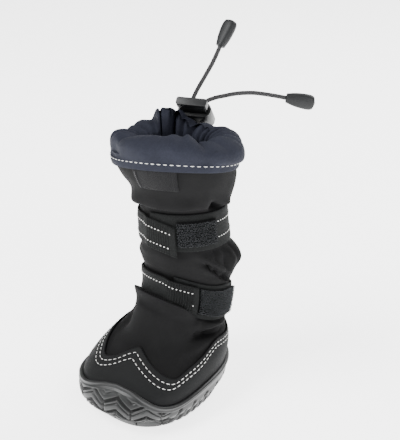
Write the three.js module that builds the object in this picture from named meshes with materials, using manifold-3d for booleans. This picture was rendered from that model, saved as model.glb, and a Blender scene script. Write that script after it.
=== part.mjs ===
// A dog boot standing empty on its rubber sole: soft shaft, padded drawcord collar and two straps.
// Millimetres, +Z up, the toe towards -Y. The origin is on the floor under the middle of the sole.
// A turn is counted in degrees around the boot: 0 at the toe, 90 at +X, 180 at the heel.
import * as THREE from 'three';
import { mergeVertices } from 'three/addons/utils/BufferGeometryUtils.js';
import Module from 'manifold-3d';

const wasm = await Module();
wasm.setup();

// The last: the sizes that the boot is cut to.
const FOOT_LENGTH = 96;
const FOOT_WIDTH = 74;
const SHAFT_HEIGHT = 157;

// Walls, clearances and layers.
const UPPER_WALL = 2;
const SEAT = 0.3;
const RAND_THICKNESS = 1.2;
const WEBBING_THICKNESS = 1.5;
const TAPE_THICKNESS = 1.2;
const LABEL_THICKNESS = 0.8;
const LABEL_HEIGHT = 11.2;
const INSOLE_THICKNESS = 2.5;

// The rubber sole.
const SOLE_FLOOR = 5;
const SOLE_WALL = 2.8;
const SOLE_TUCK = 0.6;
const TOE_SPRING = 2.6;
const TUCK_HEIGHT = 8;
const LIP_HEIGHT = 27;
const RAND_HEIGHT = 41.3;
const ARCH_RISE = 1.2;
const ARCH_LENGTH = 18;
const ARCH_PLACE = 0.12 * FOOT_LENGTH;
const GROOVE_DEPTH = 1.8;
const GROOVE_WIDTH = 2.2;
const SIDE_GROOVE_HEIGHT = 12.5;
const HEEL_GROOVE_HEIGHT = 10;
const CHEVRON_RISE = 4.4;
const CHEVRON_PITCH = 8.5;
const CHEVRON_ROWS = 3;
const CHEVRON_SPACING = 6;
const CHEVRON_LOWEST = 6.2;
const CHEVRON_SAG = 2.2;
const LUG_SLANT = 0.6;
const TREAD_CHEVRON = 5;
const LUG_PITCH = 12;

// The straps.
const STRAP_WIDTH = 19;
const TAB_WIDTH = 23;
const UPPER_STRAP_HEIGHT = 111;
const LOWER_STRAP_HEIGHT = 63;
const STRAP_SINK = 0.8;
const ANKLE_STAND = 1.2;
const UPPER_TAPE_WIDTH = 15.5;
const LOWER_TAPE_WIDTH = 18;
const UPPER_STRAP_DROOP = 5.2;

// The collar.
const HEM_DROP = 7;
const HEM_HEIGHT = SHAFT_HEIGHT - HEM_DROP;
const HEM_OVERLAP = 6;
const COLLAR_RISE = 20;
const COLLAR_BULGE = 4.5;
const COLLAR_DEPTH = 17;
const FULLEST_TURN = 130;
const GATHERS = 11;
const GATHER_DEPTH = 1.6;

// The drawcord, its lock and its ends.
const CORD = 2.6;
const CORD_HOLE = 3.4;
const HOLE_SPACING = 9.2;
const CORD_TAIL = 0.8;
const LOCK_WIDTH = 20;
const LOCK_DEPTH = 9.5;
const LOCK_LENGTH = 14;
const LOCK_WALL = 1.7;
const LOCK_CORNER = 4.2;
const BUTTON_WIDTH = 18.5;
const BUTTON_DEPTH = 5;
const BUTTON_HEIGHT = 5;
const BUTTON_TRAVEL = 4;
const STEM_LENGTH = 11;
const STEM_DEPTH = 4.4;
const RUNNING_GAP = 0.4;
const BUTTON_CHAMFER = 1.2;
const LOCK_BEARING = 20;
const LOCK_TILT = 46;
const LOCK_TURN = 197;
const LOCK_SEAT = new THREE.Vector3(5.6, -5.3, 18.5);
const END_LENGTH = 17;
const END_WIDTH = 9.5;
const END_THICKNESS = 6.5;
const END_NECK = 4.6;

// Facets.
const AROUND = 36;
const COLLAR_AROUND = 44;
const CORD_SIDES = 8;

const { abs, cos, sin, sign, max, min, PI } = Math;
const radians = (turn) => turn * PI / 180;
const clamp = (value, low, high) => min(max(value, low), high);
const ease = (value) => {
  const share = clamp(value, 0, 1);
  return share * share * (3 - 2 * share);
};
const gauss = (value) => Math.exp(-value * value);
const wrapTurn = (turn) => ((turn + 180) % 360 + 360) % 360 - 180;

const steps = (from, to, count) =>
  Array.from({ length: count + 1 }, (_, i) => from + (to - from) * i / count);
const ringTurns = (count) => steps(0, 360, count).slice(0, -1);

// Levels of the boot. up is a share of SHAFT_HEIGHT, toe and heel of FOOT_LENGTH, half and lean of
// FOOT_WIDTH. front and back are how square the level is.
const LEVELS = [
  { up: 0.032, toe: 0.405, heel: 0.415, half: 0.420, lean: 0, front: 2.5, back: 2.3 },
  { up: 0.076, toe: 0.480, heel: 0.465, half: 0.475, lean: 0, front: 2.6, back: 2.3 },
  { up: 0.140, toe: 0.462, heel: 0.503, half: 0.500, lean: 0, front: 2.5, back: 2.2 },
  { up: 0.191, toe: 0.372, heel: 0.526, half: 0.480, lean: 0.007, front: 2.4, back: 2.2 },
  { up: 0.236, toe: 0.270, heel: 0.531, half: 0.432, lean: 0.016, front: 2.2, back: 2.2 },
  { up: 0.274, toe: 0.167, heel: 0.529, half: 0.399, lean: 0.027, front: 2.2, back: 2.1 },
  { up: 0.306, toe: 0.083, heel: 0.531, half: 0.384, lean: 0.034, front: 2.1, back: 2.1 },
  { up: 0.338, toe: 0.015, heel: 0.541, half: 0.372, lean: 0.041, front: 2.1, back: 2.1 },
  { up: 0.408, toe: -0.026, heel: 0.552, half: 0.365, lean: 0.054, front: 2.1, back: 2.1 },
  { up: 0.484, toe: -0.016, heel: 0.552, half: 0.369, lean: 0.061, front: 2.1, back: 2.1 },
  { up: 0.548, toe: 0.004, heel: 0.547, half: 0.373, lean: 0.068, front: 2.1, back: 2.1 },
  { up: 0.611, toe: 0.018, heel: 0.533, half: 0.366, lean: 0.074, front: 2.1, back: 2.1 },
  { up: 0.713, toe: 0.022, heel: 0.508, half: 0.354, lean: 0.068, front: 2.1, back: 2.1 },
  { up: 0.803, toe: 0.022, heel: 0.500, half: 0.358, lean: 0.061, front: 2.1, back: 2.1 },
  { up: 0.854, toe: 0.052, heel: 0.502, half: 0.397, lean: 0.061, front: 2.1, back: 2.1 },
  { up: 0.904, toe: 0.104, heel: 0.504, half: 0.449, lean: 0.054, front: 2.1, back: 2.1 },
  { up: 0.955, toe: 0.135, heel: 0.504, half: 0.489, lean: 0.047, front: 2.1, back: 2.1 },
  { up: 1.020, toe: 0.142, heel: 0.508, half: 0.508, lean: 0.047, front: 2.1, back: 2.1 },
];

// How far one side of a level is raised, as shares of SHAFT_HEIGHT: near on the side that its bearing
// names, and far on the other.
const LIFTS = [
  { up: 0.140, near: 0, far: 0, bearing: 0 },
  { up: 0.191, near: 0, far: 0, bearing: 0 },
  { up: 0.236, near: 0.003, far: -0.003, bearing: 0 },
  { up: 0.274, near: 0.010, far: -0.010, bearing: 0 },
  { up: 0.306, near: 0.025, far: -0.020, bearing: 0 },
  { up: 0.338, near: 0.038, far: -0.030, bearing: 0 },
  { up: 0.408, near: 0.045, far: -0.040, bearing: 0 },
  { up: 0.484, near: 0.038, far: -0.035, bearing: 0 },
  { up: 0.548, near: 0.025, far: -0.020, bearing: 10 },
  { up: 0.611, near: 0.013, far: -0.010, bearing: 20 },
  { up: 0.713, near: 0.010, far: -0.010, bearing: 30 },
  { up: 0.803, near: 0.013, far: 0, bearing: 35 },
  { up: 0.854, near: 0.025, far: 0, bearing: 35 },
  { up: 0.904, near: 0.038, far: 0.006, bearing: 35 },
  { up: 0.955, near: 0.051, far: 0.013, bearing: 35 },
  { up: 1.020, near: 0.057, far: 0.020, bearing: 35 },
];

// Folds of the slack shaft. up, tall and slant are shares of SHAFT_HEIGHT, wide is in degrees, slant is
// the rise over 90 degrees and reach is a share of FOOT_WIDTH, outwards where it is positive.
const FOLDS = [
  { turn: 128, up: 0.560, wide: 42, tall: 0.055, slant: -0.05, reach: 0.075 },
  { turn: 85, up: 0.500, wide: 30, tall: 0.022, slant: -0.10, reach: -0.022 },
  { turn: -30, up: 0.347, wide: 48, tall: 0.026, slant: -0.02, reach: 0.050 },
  { turn: 85, up: 0.290, wide: 34, tall: 0.018, slant: 0.02, reach: -0.030 },
  { turn: 96, up: 0.325, wide: 34, tall: 0.024, slant: 0.02, reach: 0.026 },
  { turn: 20, up: 0.815, wide: 75, tall: 0.034, slant: 0.00, reach: 0.024 },
  { turn: -120, up: 0.545, wide: 45, tall: 0.050, slant: 0.05, reach: 0.050 },
  { turn: -90, up: 0.320, wide: 34, tall: 0.024, slant: -0.02, reach: 0.024 },
  { turn: 180, up: 0.840, wide: 60, tall: 0.040, slant: 0.00, reach: 0.018 },
];

// Edges of the sole and the rand around the boot, each way from the toe. lip is a share of LIP_HEIGHT
// and rand a share of RAND_HEIGHT.
const EDGES = [
  { turn: -180, lip: 0.815, rand: 0.935 },
  { turn: -150, lip: 0.789, rand: 0.901 },
  { turn: -120, lip: 0.759, rand: 0.906 },
  { turn: -90, lip: 0.741, rand: 0.944 },
  { turn: -62, lip: 0.752, rand: 0.910 },
  { turn: -40, lip: 0.785, rand: 0.857 },
  { turn: -25, lip: 0.822, rand: 0.818 },
  { turn: -12, lip: 0.896, rand: 0.877 },
  { turn: 3, lip: 0.996, rand: 1.000 },
  { turn: 12, lip: 0.989, rand: 0.969 },
  { turn: 22, lip: 0.952, rand: 0.913 },
  { turn: 34, lip: 0.859, rand: 0.840 },
  { turn: 46, lip: 0.748, rand: 0.775 },
  { turn: 56, lip: 0.689, rand: 0.746 },
  { turn: 66, lip: 0.670, rand: 0.797 },
  { turn: 80, lip: 0.719, rand: 0.862 },
  { turn: 94, lip: 0.778, rand: 0.959 },
  { turn: 108, lip: 0.778, rand: 0.935 },
  { turn: 130, lip: 0.759, rand: 0.881 },
  { turn: 155, lip: 0.785, rand: 0.901 },
  { turn: 180, lip: 0.815, rand: 0.935 },
];

// Smooth value of one column of a table between its rows.
function read(table, column, key, where) {
  const last = table.length - 1;
  let row = table.findIndex((entry) => entry[column] > where) - 1;
  if (row < 0) row = where < table[0][column] ? 0 : last - 1;
  const slope = (index) => {
    const a = table[max(index - 1, 0)];
    const b = table[min(index + 1, last)];
    return (b[key] - a[key]) / (b[column] - a[column]);
  };
  const a = table[row];
  const b = table[row + 1];
  const span = b[column] - a[column];
  const t = clamp((where - a[column]) / span, 0, 1);
  const u = 1 - t;
  const ends = a[key] * u * u * (1 + 2 * t) + b[key] * t * t * (3 - 2 * t);
  return ends + span * t * u * (slope(row) * u - slope(row + 1) * t);
}

// Strap paths: sway tips a strap towards its bearing, stand lifts it off the hollow of the ankle, and
// droop lowers its free end.
const STRAPS = {
  upper: { height: UPPER_STRAP_HEIGHT, sway: 2, bearing: 60, stand: 0, droop: UPPER_STRAP_DROOP },
  lower: { height: LOWER_STRAP_HEIGHT, sway: 5.5, bearing: -10, stand: ANKLE_STAND, droop: 0 },
};
const strapMiddle = (strap, turn) => strap.height + strap.sway * cos(radians(turn - strap.bearing));

// How free the cloth is at a level: 0 under a strap and 1 away from them.
function slack(turn, z) {
  return Object.values(STRAPS).reduce((free, strap) => {
    const away = abs(z - strapMiddle(strap, turn)) - TAB_WIDTH / 2;
    return free * ease(away / (TAB_WIDTH / 4));
  }, 1);
}

function fold(turn, z) {
  const free = slack(turn, z);
  const bulge = FOLDS.reduce((sum, row) => {
    const aside = wrapTurn(turn - row.turn);
    const above = z / SHAFT_HEIGHT - row.up - row.slant * aside / 90;
    return sum + row.reach * FOOT_WIDTH * gauss(aside / row.wide) * gauss(above / row.tall);
  }, 0);
  return bulge * free - STRAP_SINK * (1 - free);
}

// The bare form at a level: a superellipse, squarer at the toe, with its lift.
function form(turn, z) {
  const level = (key) => read(LEVELS, 'up', key, z / SHAFT_HEIGHT);
  const angle = radians(turn);
  const toe = level('toe') * FOOT_LENGTH;
  const heel = level('heel') * FOOT_LENGTH;
  const power = 2 / level(cos(angle) > 0 ? 'front' : 'back');
  const across = sign(sin(angle)) * abs(sin(angle)) ** power;
  const along = sign(cos(angle)) * abs(cos(angle)) ** power;
  const raised = (key) => read(LIFTS, 'up', key, z / SHAFT_HEIGHT);
  const facing = cos(radians(turn - raised('bearing')));
  const lift = facing > 0 ? raised('near') * facing ** 1.5 : raised('far') * (-facing) ** 1.5;
  const x = FOOT_WIDTH * (level('lean') + level('half') * across);
  const y = (heel - toe) / 2 - (heel + toe) / 2 * along;
  return new THREE.Vector3(x, y, z + lift * SHAFT_HEIGHT);
}

function outward(turn, z) {
  const low = LEVELS[0].up * SHAFT_HEIGHT;
  const high = LEVELS.at(-1).up * SHAFT_HEIGHT;
  const round = form(turn + 1, z).sub(form(turn - 1, z));
  const rise = form(turn, min(z + 1, high)).sub(form(turn, max(z - 1, low)));
  return round.cross(rise).normalize();
}

// A point on the boot at a distance outside its outer face.
function skin(turn, z, off = 0) {
  return form(turn, z).addScaledVector(outward(turn, z), fold(turn, z) + off);
}

const lip = (turn) => LIP_HEIGHT * read(EDGES, 'turn', 'lip', wrapTurn(turn));
const randEdge = (turn) => RAND_HEIGHT * read(EDGES, 'turn', 'rand', wrapTurn(turn));

// Heights at which every layer of the foot has its rings, so that nested faces run side by side.
const UPPER_FOOT = SOLE_FLOOR + SEAT;
const cupHeights = (turn) => steps(UPPER_FOOT, lip(turn), 2);
const randHeights = (turn) => steps(lip(turn) + SEAT, randEdge(turn), 2);
const strapEdge = (strap, turn, share) => strapMiddle(strap, turn) + share * TAB_WIDTH;

// A geometry from points and triangles, with equal points merged and empty triangles dropped.
function geometryOf(points, triangles) {
  const raw = new THREE.BufferGeometry();
  raw.setAttribute('position', new THREE.Float32BufferAttribute(points.flatMap((p) => [p.x, p.y, p.z]), 3));
  raw.setIndex(triangles.flat());
  const welded = mergeVertices(raw, 1e-3);
  const index = welded.index.array;
  const kept = [];
  for (let i = 0; i < index.length; i += 3) {
    const [a, b, c] = [index[i], index[i + 1], index[i + 2]];
    if (a !== b && b !== c && a !== c) kept.push(a, b, c);
  }
  welded.setIndex(kept);
  return welded;
}

// A closed solid swept through sections of equal length, each four-sided patch split along its shorter
// diagonal, so that nested faces are split alike. A ring joins its last section to the first;
// an open strip is closed by its end sections, whose points pair up as first with last.
function sweep(sections, ring) {
  const count = sections[0].length;
  const points = sections.flat();
  const triangles = [];
  const spans = ring ? sections.length : sections.length - 1;
  for (let i = 0; i < spans; i++) {
    const here = i * count;
    const next = ((i + 1) % sections.length) * count;
    for (let j = 0; j < count; j++) {
      const k = (j + 1) % count;
      const [a, b, c, d] = [here + j, next + j, next + k, here + k];
      const rising = points[a].distanceTo(points[c]) < points[b].distanceTo(points[d]);
      triangles.push(...(rising ? [[a, b, c], [a, c, d]] : [[a, b, d], [b, c, d]]));
    }
  }
  if (!ring) {
    const end = (sections.length - 1) * count;
    for (let j = 0; j < count / 2 - 1; j++) {
      const k = count - 1 - j;
      triangles.push([j, j + 1, k - 1], [j, k - 1, k]);
      triangles.push([end + j, end + k - 1, end + j + 1], [end + j, end + k, end + k - 1]);
    }
  }
  return geometryOf(points, triangles);
}

// A layer of cloth, webbing or rubber on the boot: up its outer face and down its inner one.
function layer({ turns, low, high, rows, inner, outer, ring = false }) {
  const sections = turns.map((turn) => {
    const heights = steps(low(turn), high(turn), rows);
    const face = heights.map((z) => skin(turn, z, outer(turn)));
    const back = heights.map((z) => skin(turn, z, inner(turn)));
    return [...face, ...back.reverse()];
  });
  return sweep(sections, ring);
}

function toSolid(geometry) {
  const bare = geometry.clone();
  bare.deleteAttribute('normal');
  bare.deleteAttribute('uv');
  const merged = mergeVertices(bare, 1e-4);
  const vertProperties = new Float32Array(merged.attributes.position.array);
  const triVerts = new Uint32Array(merged.index.array);
  return new wasm.Manifold(new wasm.Mesh({ numProp: 3, vertProperties, triVerts }));
}

function toGeometry(solid) {
  const mesh = solid.getMesh();
  const geometry = new THREE.BufferGeometry();
  geometry.setAttribute('position', new THREE.BufferAttribute(mesh.vertProperties, 3));
  geometry.setIndex(new THREE.BufferAttribute(mesh.triVerts, 1));
  return geometry;
}

const boot = new THREE.Group();

function addPiece(parent, name, geometry, color, roughness) {
  const material = new THREE.MeshStandardMaterial({ color, roughness, metalness: 0 });
  const mesh = new THREE.Mesh(geometry, material);
  mesh.name = name;
  parent.add(mesh);
  return mesh;
}

// Outsole: a moulded rubber cup with a raised toe bumper and a low arch.
function soleOutside(turn, wall, under) {
  const facing = max(cos(radians(turn)), 0);
  const tuck = SOLE_TUCK + TOE_SPRING * facing * facing;
  const lowest = LEVELS[0].up * SHAFT_HEIGHT;
  const side = (z) => {
    const below = clamp(1 - z / TUCK_HEIGHT, 0, 1);
    return skin(turn, max(z, lowest), SEAT + wall - tuck * below * below).setZ(z);
  };
  const top = lip(turn);
  const bend = [0.25, 0.58].map((share) => side(share * TUCK_HEIGHT));
  const wallHeights = [TUCK_HEIGHT, (TUCK_HEIGHT + top) / 2, top];
  return [side(under), ...bend, ...wallHeights.map((z) => skin(turn, z, SEAT + wall))];
}

function soleCup() {
  return sweep(ringTurns(AROUND).map((turn) => {
    const outside = soleOutside(turn, SOLE_WALL, 0);
    const inside = cupHeights(turn).map((z) => skin(turn, z, SEAT)).reverse();
    inside.at(-1).setZ(SOLE_FLOOR);
    return [new THREE.Vector3(), ...outside, ...inside, new THREE.Vector3(0, 0, SOLE_FLOOR)];
  }), true);
}

// What the grooves leave standing: the sole and all inside it, down to the depth of a groove.
function grooveFloor() {
  return sweep(ringTurns(AROUND).map((turn) => {
    const outside = soleOutside(turn, SOLE_WALL - GROOVE_DEPTH, GROOVE_DEPTH);
    return [new THREE.Vector3(0, 0, GROOVE_DEPTH), ...outside, new THREE.Vector3(0, 0, LIP_HEIGHT)];
  }), true);
}

// One straight groove cutter between two points, with its depth along the third direction.
function groove(from, to, through, depth) {
  const length = from.distanceTo(to) + GROOVE_WIDTH;
  const cutter = new THREE.BoxGeometry(length, GROOVE_WIDTH, depth);
  const along = to.clone().sub(from).normalize();
  const third = through.clone().normalize();
  const second = third.clone().cross(along);
  const turnTo = new THREE.Matrix4().makeBasis(along, second, third);
  cutter.applyMatrix4(turnTo.setPosition(from.clone().add(to).multiplyScalar(0.5)));
  return toSolid(cutter);
}

function zigzag(points, through, depth) {
  return points.slice(1).map((point, index) => groove(points[index], point, through, depth));
}

function bumperGrooves() {
  const reach = FOOT_WIDTH * 0.42;
  const middle = -FOOT_LENGTH * 0.42;
  const rows = steps(0, CHEVRON_ROWS - 1, CHEVRON_ROWS - 1);
  return rows.flatMap((row) => {
    const corners = Math.round((reach - row * CHEVRON_PITCH * 0.9) / CHEVRON_PITCH);
    const points = steps(-corners, corners, 2 * corners).map((corner) => {
      const x = corner * CHEVRON_PITCH;
      const up = corner % 2 === 0 ? 0 : CHEVRON_RISE;
      const z = CHEVRON_LOWEST + row * CHEVRON_SPACING + up - CHEVRON_SAG * (x / reach) ** 2;
      return new THREE.Vector3(x, middle, z);
    });
    return zigzag(points, new THREE.Vector3(0, 1, 0), FOOT_LENGTH * 0.42);
  });
}

function sideGrooves() {
  const through = new THREE.Vector3(1, 0, 0);
  const start = -FOOT_LENGTH * 0.2;
  const end = FOOT_LENGTH * 0.4;
  const count = Math.round((end - start) / LUG_PITCH);
  const under = -GROOVE_WIDTH;
  return steps(start, end, count).map((y) => {
    const low = new THREE.Vector3(0, y + LUG_SLANT * under, under);
    const high = new THREE.Vector3(0, y + LUG_SLANT * SIDE_GROOVE_HEIGHT, SIDE_GROOVE_HEIGHT);
    return groove(low, high, through, FOOT_WIDTH * 1.3);
  });
}

function heelGrooves() {
  const through = new THREE.Vector3(0, 1, 0);
  return [-1.5, -0.5, 0.5, 1.5].map((place) => {
    const low = new THREE.Vector3(place * LUG_PITCH, FOOT_LENGTH * 0.48, -GROOVE_WIDTH);
    const high = new THREE.Vector3(place * LUG_PITCH, FOOT_LENGTH * 0.48, HEEL_GROOVE_HEIGHT);
    return groove(low, high, through, FOOT_LENGTH * 0.2);
  });
}

function treadGrooves() {
  const through = new THREE.Vector3(0, 0, 1);
  const reach = FOOT_WIDTH * 0.56;
  const rows = Math.round(FOOT_LENGTH * 0.76 / LUG_PITCH);
  return steps(-FOOT_LENGTH * 0.4, FOOT_LENGTH * 0.36, rows).flatMap((y) => {
    const corners = [[-reach, y], [0, y + TREAD_CHEVRON], [reach, y]];
    return zigzag(corners.map(([x, along]) => new THREE.Vector3(x, along, 0)), through, 3 * GROOVE_DEPTH);
  });
}

// The arch: a shallow round hollow across the sole, between the forefoot and the heel.
function archHollow() {
  const radius = (ARCH_LENGTH ** 2 / 4 + ARCH_RISE ** 2) / (2 * ARCH_RISE);
  const cutter = new THREE.CylinderGeometry(radius, radius, FOOT_WIDTH * 1.3, 72).rotateZ(PI / 2);
  return toSolid(cutter.translate(0, ARCH_PLACE, ARCH_RISE - radius));
}

function outsole() {
  const cutters = [...bumperGrooves(), ...sideGrooves(), ...heelGrooves(), ...treadGrooves(), archHollow()];
  const grooves = wasm.Manifold.union(cutters).subtract(toSolid(grooveFloor()));
  const parts = toSolid(soleCup()).subtract(grooves).decompose();
  const crumbless = parts.reduce((largest, part) => (part.volume() > largest.volume() ? part : largest));
  return toGeometry(crumbless);
}

addPiece(boot, 'outsole', outsole(), 0x3c3e40, 0.42);

// Upper: one hollow wall from the sole's floor to the collar, open above and below.
const shaftTop = HEM_HEIGHT + HEM_OVERLAP;
function upperHeights(turn) {
  const strapSpan = (strap) => steps(strapEdge(strap, turn, -0.5), strapEdge(strap, turn, 0.5), 2);
  const lower = strapSpan(STRAPS.lower);
  const upper = strapSpan(STRAPS.upper);
  const vamp = steps(randEdge(turn), lower[0], 4).slice(1, -1);
  const middle = steps(lower.at(-1), upper[0], 3).slice(1, -1);
  const above = steps(upper.at(-1), HEM_HEIGHT, 3).slice(1);
  const foot = [...cupHeights(turn), ...randHeights(turn).slice(1)];
  return [...foot, ...vamp, ...lower, ...middle, ...upper, ...above, shaftTop];
}
const upper = ringTurns(AROUND).map((turn) => {
  const heights = upperHeights(turn);
  const [face, back] = [0, -UPPER_WALL].map((off) => heights.map((z) => skin(turn, z, off)));
  face[0].setZ(UPPER_FOOT);
  back[0].setZ(UPPER_FOOT);
  return [...face, ...back.reverse()];
});
addPiece(boot, 'upper', sweep(upper, true), 0x262627, 0.85);

// Insole: a flat pad on the sole's floor, inside the upper.
const insole = ringTurns(AROUND).map((turn) => {
  const edge = skin(turn, UPPER_FOOT, -UPPER_WALL - SEAT).setZ(UPPER_FOOT);
  const middle = new THREE.Vector3(0, 0, UPPER_FOOT);
  const up = new THREE.Vector3(0, 0, INSOLE_THICKNESS);
  return [middle, edge, edge.clone().add(up), middle.clone().add(up)];
});
addPiece(boot, 'insole', sweep(insole, true), 0x30323a, 0.9);

// Rand: the rubbery strip that covers the seam between the sole and the vamp.
addPiece(boot, 'rand', layer({
  turns: ringTurns(AROUND),
  low: (turn) => lip(turn) + SEAT,
  high: randEdge,
  rows: 2,
  inner: () => SEAT,
  outer: () => SEAT + RAND_THICKNESS,
  ring: true,
}), 0x2e3031, 0.7);

// Turns at the same places as the upper's columns, with two free ends.
function turnsBetween(from, to) {
  const step = 360 / AROUND;
  const first = Math.floor(from / step) + 1;
  const last = Math.ceil(to / step) - 1;
  return [from, ...steps(first * step, last * step, last - first), to];
}

// Straps: each has a tab sewn on one side with loop tape on it, and webbing that comes round the other
// side and laps over the tab.
function strapPieces(name, strap, reach) {
  const tabOut = SEAT + TAPE_THICKNESS;
  const ribbon = (from, to, width, inner, thick, drop = () => 0) => layer({
    turns: turnsBetween(from, to),
    low: (turn) => strapMiddle(strap, turn) - drop(turn) - width / 2,
    high: (turn) => strapMiddle(strap, turn) - drop(turn) + width / 2,
    rows: 2,
    inner,
    outer: (turn) => inner(turn) + thick,
  });
  const lapped = (turn) => SEAT + strap.stand * gauss(turn / 40)
    + tabOut * ease((turn - reach.tabFrom + reach.lap) / reach.lap);
  const droop = (turn) => strap.droop * clamp(1 + (turn - reach.strapTo) / reach.slope, 0, 1) ** 2;
  const tab = ribbon(reach.tabFrom, reach.back, TAB_WIDTH, () => SEAT, TAPE_THICKNESS);
  const onTab = () => tabOut + SEAT;
  const tape = ribbon(reach.strapTo + reach.show, reach.tapeTo, reach.tape, onTab, TAPE_THICKNESS);
  const webbing = ribbon(-reach.back, reach.strapTo, STRAP_WIDTH, lapped, WEBBING_THICKNESS, droop);
  addPiece(boot, `${name}_tab`, tab, 0x242526, 0.85);
  addPiece(boot, `${name}_loop_tape`, tape, 0x282a2b, 0.95);
  addPiece(boot, `${name}_webbing`, webbing, 0x2a2c2d, 0.8);
}

strapPieces('upper_strap', STRAPS.upper, {
  back: 171, tabFrom: -9, strapTo: 27, show: 2, tapeTo: 81, lap: 14, slope: 62, tape: UPPER_TAPE_WIDTH,
});
strapPieces('lower_strap', STRAPS.lower, {
  back: 171, tabFrom: 18, strapTo: 50, show: 2, tapeTo: 117, lap: 14, slope: 62, tape: LOWER_TAPE_WIDTH,
});

// Label: a bare woven patch sewn on under the hem.
const LABEL = { from: -8, to: 35, low: HEM_HEIGHT - LABEL_HEIGHT, high: HEM_HEIGHT - SEAT };
addPiece(boot, 'label', layer({
  turns: turnsBetween(LABEL.from, LABEL.to),
  low: () => LABEL.low,
  high: () => LABEL.high,
  rows: 2,
  inner: () => SEAT,
  outer: () => SEAT + LABEL_THICKNESS,
}), 0x202124, 0.7);

// Collar: a padded cuff gathered by the drawcord. It hooks over the shaft's top edge with a hem outside
// it. out is a share of COLLAR_DEPTH inwards where it is negative, bulge a share of COLLAR_BULGE, up a
// share of the height of the crest above the shaft's edge, and gather a share of GATHER_DEPTH.
const COLLAR_SECTION = [
  { out: -0.55, bulge: 0, up: 0.10, gather: 0.2 },
  { out: -0.90, bulge: 0, up: 0.16, gather: 0.8 },
  { out: -1.00, bulge: 0, up: 0.42, gather: 1 },
  { out: -0.88, bulge: 0, up: 0.72, gather: 1 },
  { out: -0.62, bulge: 0, up: 0.94, gather: 1 },
  { out: -0.36, bulge: 0, up: 1.00, gather: 0.9 },
  { out: -0.10, bulge: 0.2, up: 0.90, gather: 0.7 },
  { out: 0, bulge: 0.75, up: 0.62, gather: 0.4 },
  { out: 0, bulge: 1, up: 0.28, gather: 0.2 },
  { out: 0, bulge: 0.85, up: -0.06, gather: 0.1 },
];
const CREST = { height: HEM_HEIGHT + COLLAR_RISE, sway: 3.5, bearing: 40 };
const CREST_SAG = { turn: -95, wide: 26, down: 6 };
const LOCK_DENT = { turn: LOCK_TURN, wide: 30, out: 7.8, down: 2.2 };

function collarSection(turn) {
  const edge = skin(turn, shaftTop);
  const out = outward(turn, shaftTop).setZ(0).normalize();
  const sag = CREST_SAG.down * gauss(wrapTurn(turn - CREST_SAG.turn) / CREST_SAG.wide);
  const crest = CREST.height + CREST.sway * cos(2 * radians(turn - CREST.bearing)) - sag;
  const dent = gauss(wrapTurn(turn - LOCK_DENT.turn) / LOCK_DENT.wide);
  const rise = crest - edge.z - LOCK_DENT.down * dent;
  const wave = 0.5 - 0.5 * cos(radians(GATHERS * turn));
  const bulge = COLLAR_BULGE * (0.6 + 0.4 * cos(radians(turn - FULLEST_TURN)));
  const roll = COLLAR_SECTION.map((row) => {
    const gather = GATHER_DEPTH * row.gather * wave;
    const across = row.out * COLLAR_DEPTH + row.bulge * bulge;
    const pressed = LOCK_DENT.out * dent * ease(row.up / 0.6) * (row.out > -0.5 ? 1 : 0);
    const point = edge.clone().addScaledVector(out, across - pressed - gather * 0.6);
    return point.setZ(edge.z + row.up * rise - gather);
  });
  const hem = [HEM_HEIGHT + HEM_OVERLAP / 2, HEM_HEIGHT].map((z) => skin(turn, z, SEAT + 1.6));
  const inside = [HEM_HEIGHT, HEM_HEIGHT + HEM_OVERLAP / 2, shaftTop].map((z) => skin(turn, z, SEAT));
  const over = [SEAT, -UPPER_WALL - SEAT].map((off) => {
    const point = skin(turn, shaftTop, off);
    return point.setZ(point.z + 2 * SEAT);
  });
  return [...inside, ...over, ...roll, ...hem].reverse();
}
addPiece(boot, 'collar', sweep(ringTurns(COLLAR_AROUND).map(collarSection), true), 0x383b4b, 0.8);

// Cord lock: a body with two cord holes and a sprung button whose forked stem clears the cords.
const lock = new THREE.Group();
lock.position.copy(skin(LOCK_TURN, shaftTop)).add(LOCK_SEAT);
lock.rotation.set(radians(90 - LOCK_TILT), 0, radians(LOCK_BEARING), 'ZXY');
boot.add(lock);

function box(width, depth, low, high, x = 0) {
  const geometry = new THREE.BoxGeometry(width, depth, high - low);
  return toSolid(geometry.translate(x, 0, (low + high) / 2));
}

function roundedBlock(width, depth, corner, low, high, segments) {
  const shape = new THREE.Shape();
  const [x, y] = [width / 2 - corner, depth / 2 - corner];
  shape.absarc(x, y, corner, 0, PI / 2);
  shape.absarc(-x, y, corner, PI / 2, PI);
  shape.absarc(-x, -y, corner, PI, 3 * PI / 2);
  shape.absarc(x, -y, corner, 3 * PI / 2, 2 * PI);
  const settings = { depth: high - low, bevelEnabled: false, curveSegments: segments };
  return toSolid(new THREE.ExtrudeGeometry(shape, settings).translate(0, 0, low));
}

const headLow = -BUTTON_HEIGHT / 2;
const bodyTop = headLow - BUTTON_TRAVEL - RUNNING_GAP;
const bodyLow = bodyTop - LOCK_LENGTH;
const holeLevel = (bodyTop + bodyLow) / 2;
const stemWidth = LOCK_WIDTH - 2 * LOCK_WALL - 2 * RUNNING_GAP;
const holeSides = [-HOLE_SPACING / 2, HOLE_SPACING / 2];

function lockBody() {
  const roomy = 2 * RUNNING_GAP;
  const pocket = box(stemWidth + roomy, STEM_DEPTH + roomy, bodyLow + LOCK_WALL, bodyTop + 1);
  const holes = holeSides.map((x) => {
    const hole = new THREE.CylinderGeometry(CORD_HOLE / 2, CORD_HOLE / 2, LOCK_DEPTH + 2, 12);
    return toSolid(hole.translate(x, 0, holeLevel));
  });
  const block = roundedBlock(LOCK_WIDTH, LOCK_DEPTH, LOCK_CORNER, bodyLow, bodyTop, 5);
  return toGeometry(block.subtract(wasm.Manifold.union([pocket, ...holes])));
}

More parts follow.
